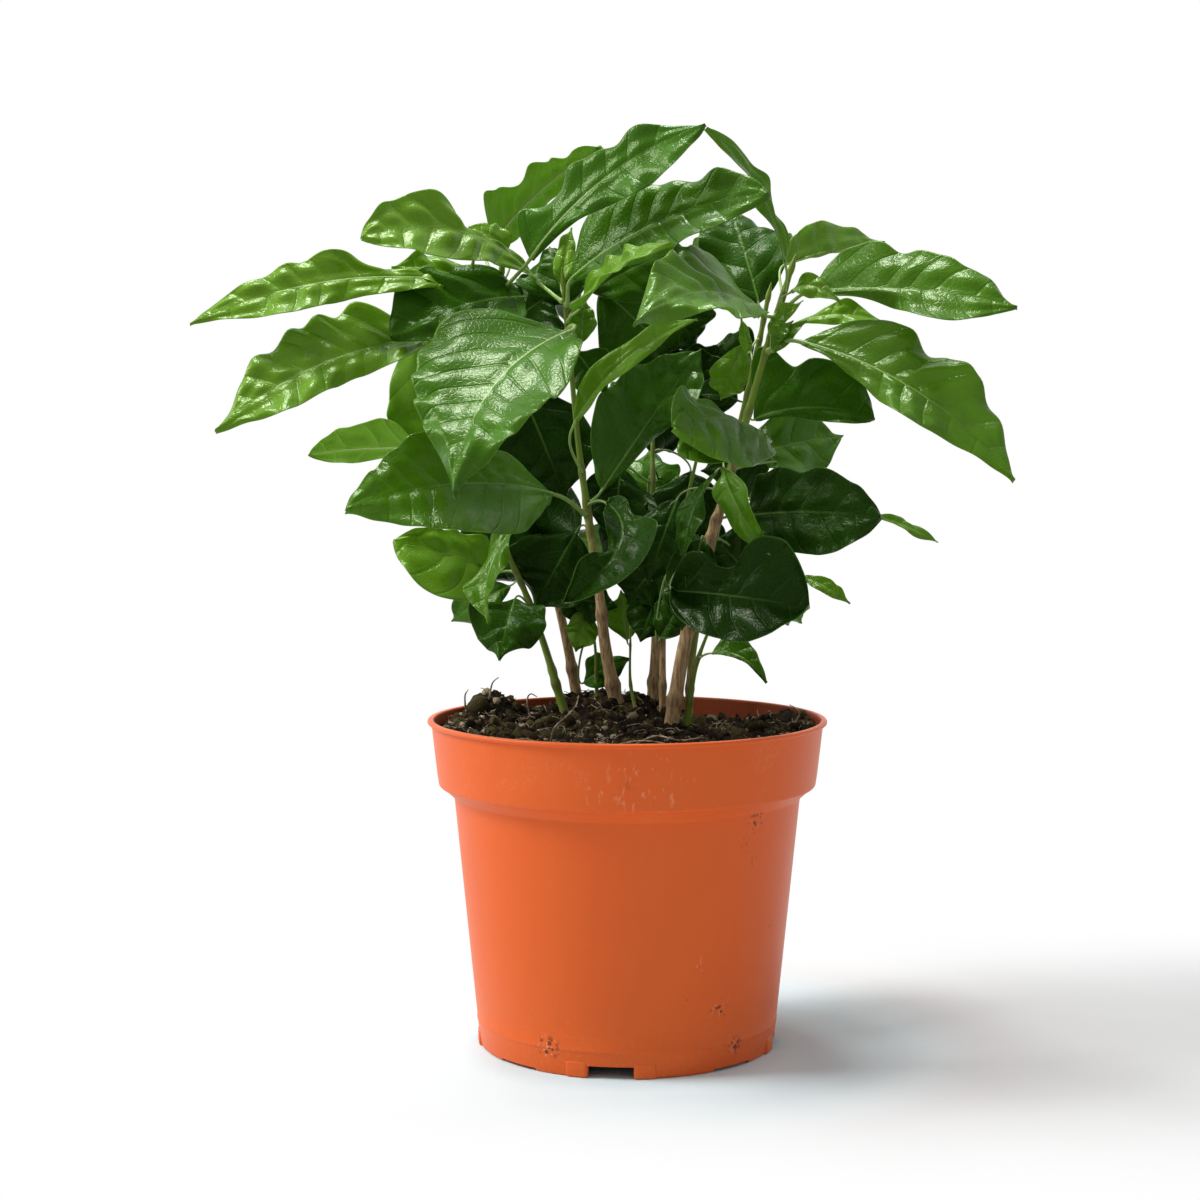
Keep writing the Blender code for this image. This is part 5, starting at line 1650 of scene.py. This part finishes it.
def make_floor():
    """A pale floor that keeps the plant's shadow and is plain white further out; right beside the pot
    it is painted paler and cooler, as painted light.
    """
    form = bmesh.new()
    bmesh.ops.create_grid(form, x_segments=1, y_segments=1, size=FLOOR_SIZE)
    mesh = formed_mesh("floor", form)
    paint = Paint("pale_floor")
    place = paint.place()
    x, y, _ = paint.split(place)
    x, y = x - AXIS.x, y - AXIS.y
    across, deep = (x - SHADOW_CENTRE[0]) / SHADOW_REACH[0], (y - SHADOW_CENTRE[1]) / SHADOW_REACH[1]
    away = paint.step((across * across + deep * deep) ** 0.5, 0.6, 1.5)
    from_axis = (x * x + y * y) ** 0.5
    under_pot = paint.step(from_axis, 0.046, 0.06)
    pale = paint.mix(paint.noise(place, 40, 2), *FLOOR_TONES)
    # Painted light: a paler, cooler floor right beside the pot.
    painted_light = paint.step(from_axis, FLOOR_PAINTED_LIGHT_REACH, 0.05)
    paint.set(Base_Color=paint.mix(painted_light, pale, FLOOR_PAINTED_LIGHT), Roughness=0.9, Specular_IOR_Level=0.0)
    white = paint.add("ShaderNodeEmission", {}, {"Color": (1, 1, 1, 1), "Strength": 1.0})
    paint.blend_in(seen_directly(paint) * away * under_pot, white)
    mesh.materials.append(paint.material)
    linked_object("floor", mesh)


def light_room(scene, strength):
    """Even light from all round, and a white background where it is seen."""
    scene.world = bpy.data.worlds.new("studio")
    scene.world.use_nodes = True
    tree = Tree(scene.world.node_tree)
    back = tree.nodes.nodes["Background"].inputs
    tree.feed(back["Color"], (1, 1, 1, 1))
    tree.feed(back["Strength"], seen_directly(tree) * (1 - strength) + strength)


def make_lamp(name, place, size, power):
    """A large soft square light that faces the plant."""
    lamp = bpy.data.lights.new(name, "AREA")
    lamp.shape = "SQUARE"
    lamp.size = size
    lamp.energy = power
    obj = linked_object(name, lamp)
    obj.location = AXIS + Vector(place)
    facing = Vector(LIGHT_TARGET) - Vector(place)
    obj.rotation_euler = facing.to_track_quat("-Z", "Y").to_euler()


class PlantPanel(bpy.types.Panel):
    """Settings and steps of the potted coffee plant"""

    bl_idname = "VIEW3D_PT_coffee_plant"
    bl_label = "Coffee Plant"
    bl_space_type = "VIEW_3D"
    bl_region_type = "UI"
    bl_category = "Coffee Plant"

    def draw(self, context):
        for key, operator in zip(SETTINGS, STEPS):
            box = self.layout.box()
            settings = getattr(context.scene, key)
            for name in settings.__annotations__:
                box.prop(settings, name)
            box.operator(operator.bl_idname)


STEPS = (MakePot, MakeSoil, MakeStems, MakeLeaves, MakeStage)


def register():
    for cls in (*SETTINGS.values(), *STEPS, PlantPanel):
        bpy.utils.register_class(cls)
    for key, cls in SETTINGS.items():
        setattr(bpy.types.Scene, key, bpy.props.PointerProperty(type=cls))


def unregister():
    for key in SETTINGS:
        delattr(bpy.types.Scene, key)
    for cls in reversed((*SETTINGS.values(), *STEPS, PlantPanel)):
        bpy.utils.unregister_class(cls)


def main():
    register()
    bpy.ops.coffee_plant.make_pot()
    bpy.ops.coffee_plant.make_soil()
    bpy.ops.coffee_plant.make_stems()
    bpy.ops.coffee_plant.make_leaves()
    bpy.ops.coffee_plant.make_stage()


if __name__ == "__main__":
    main()
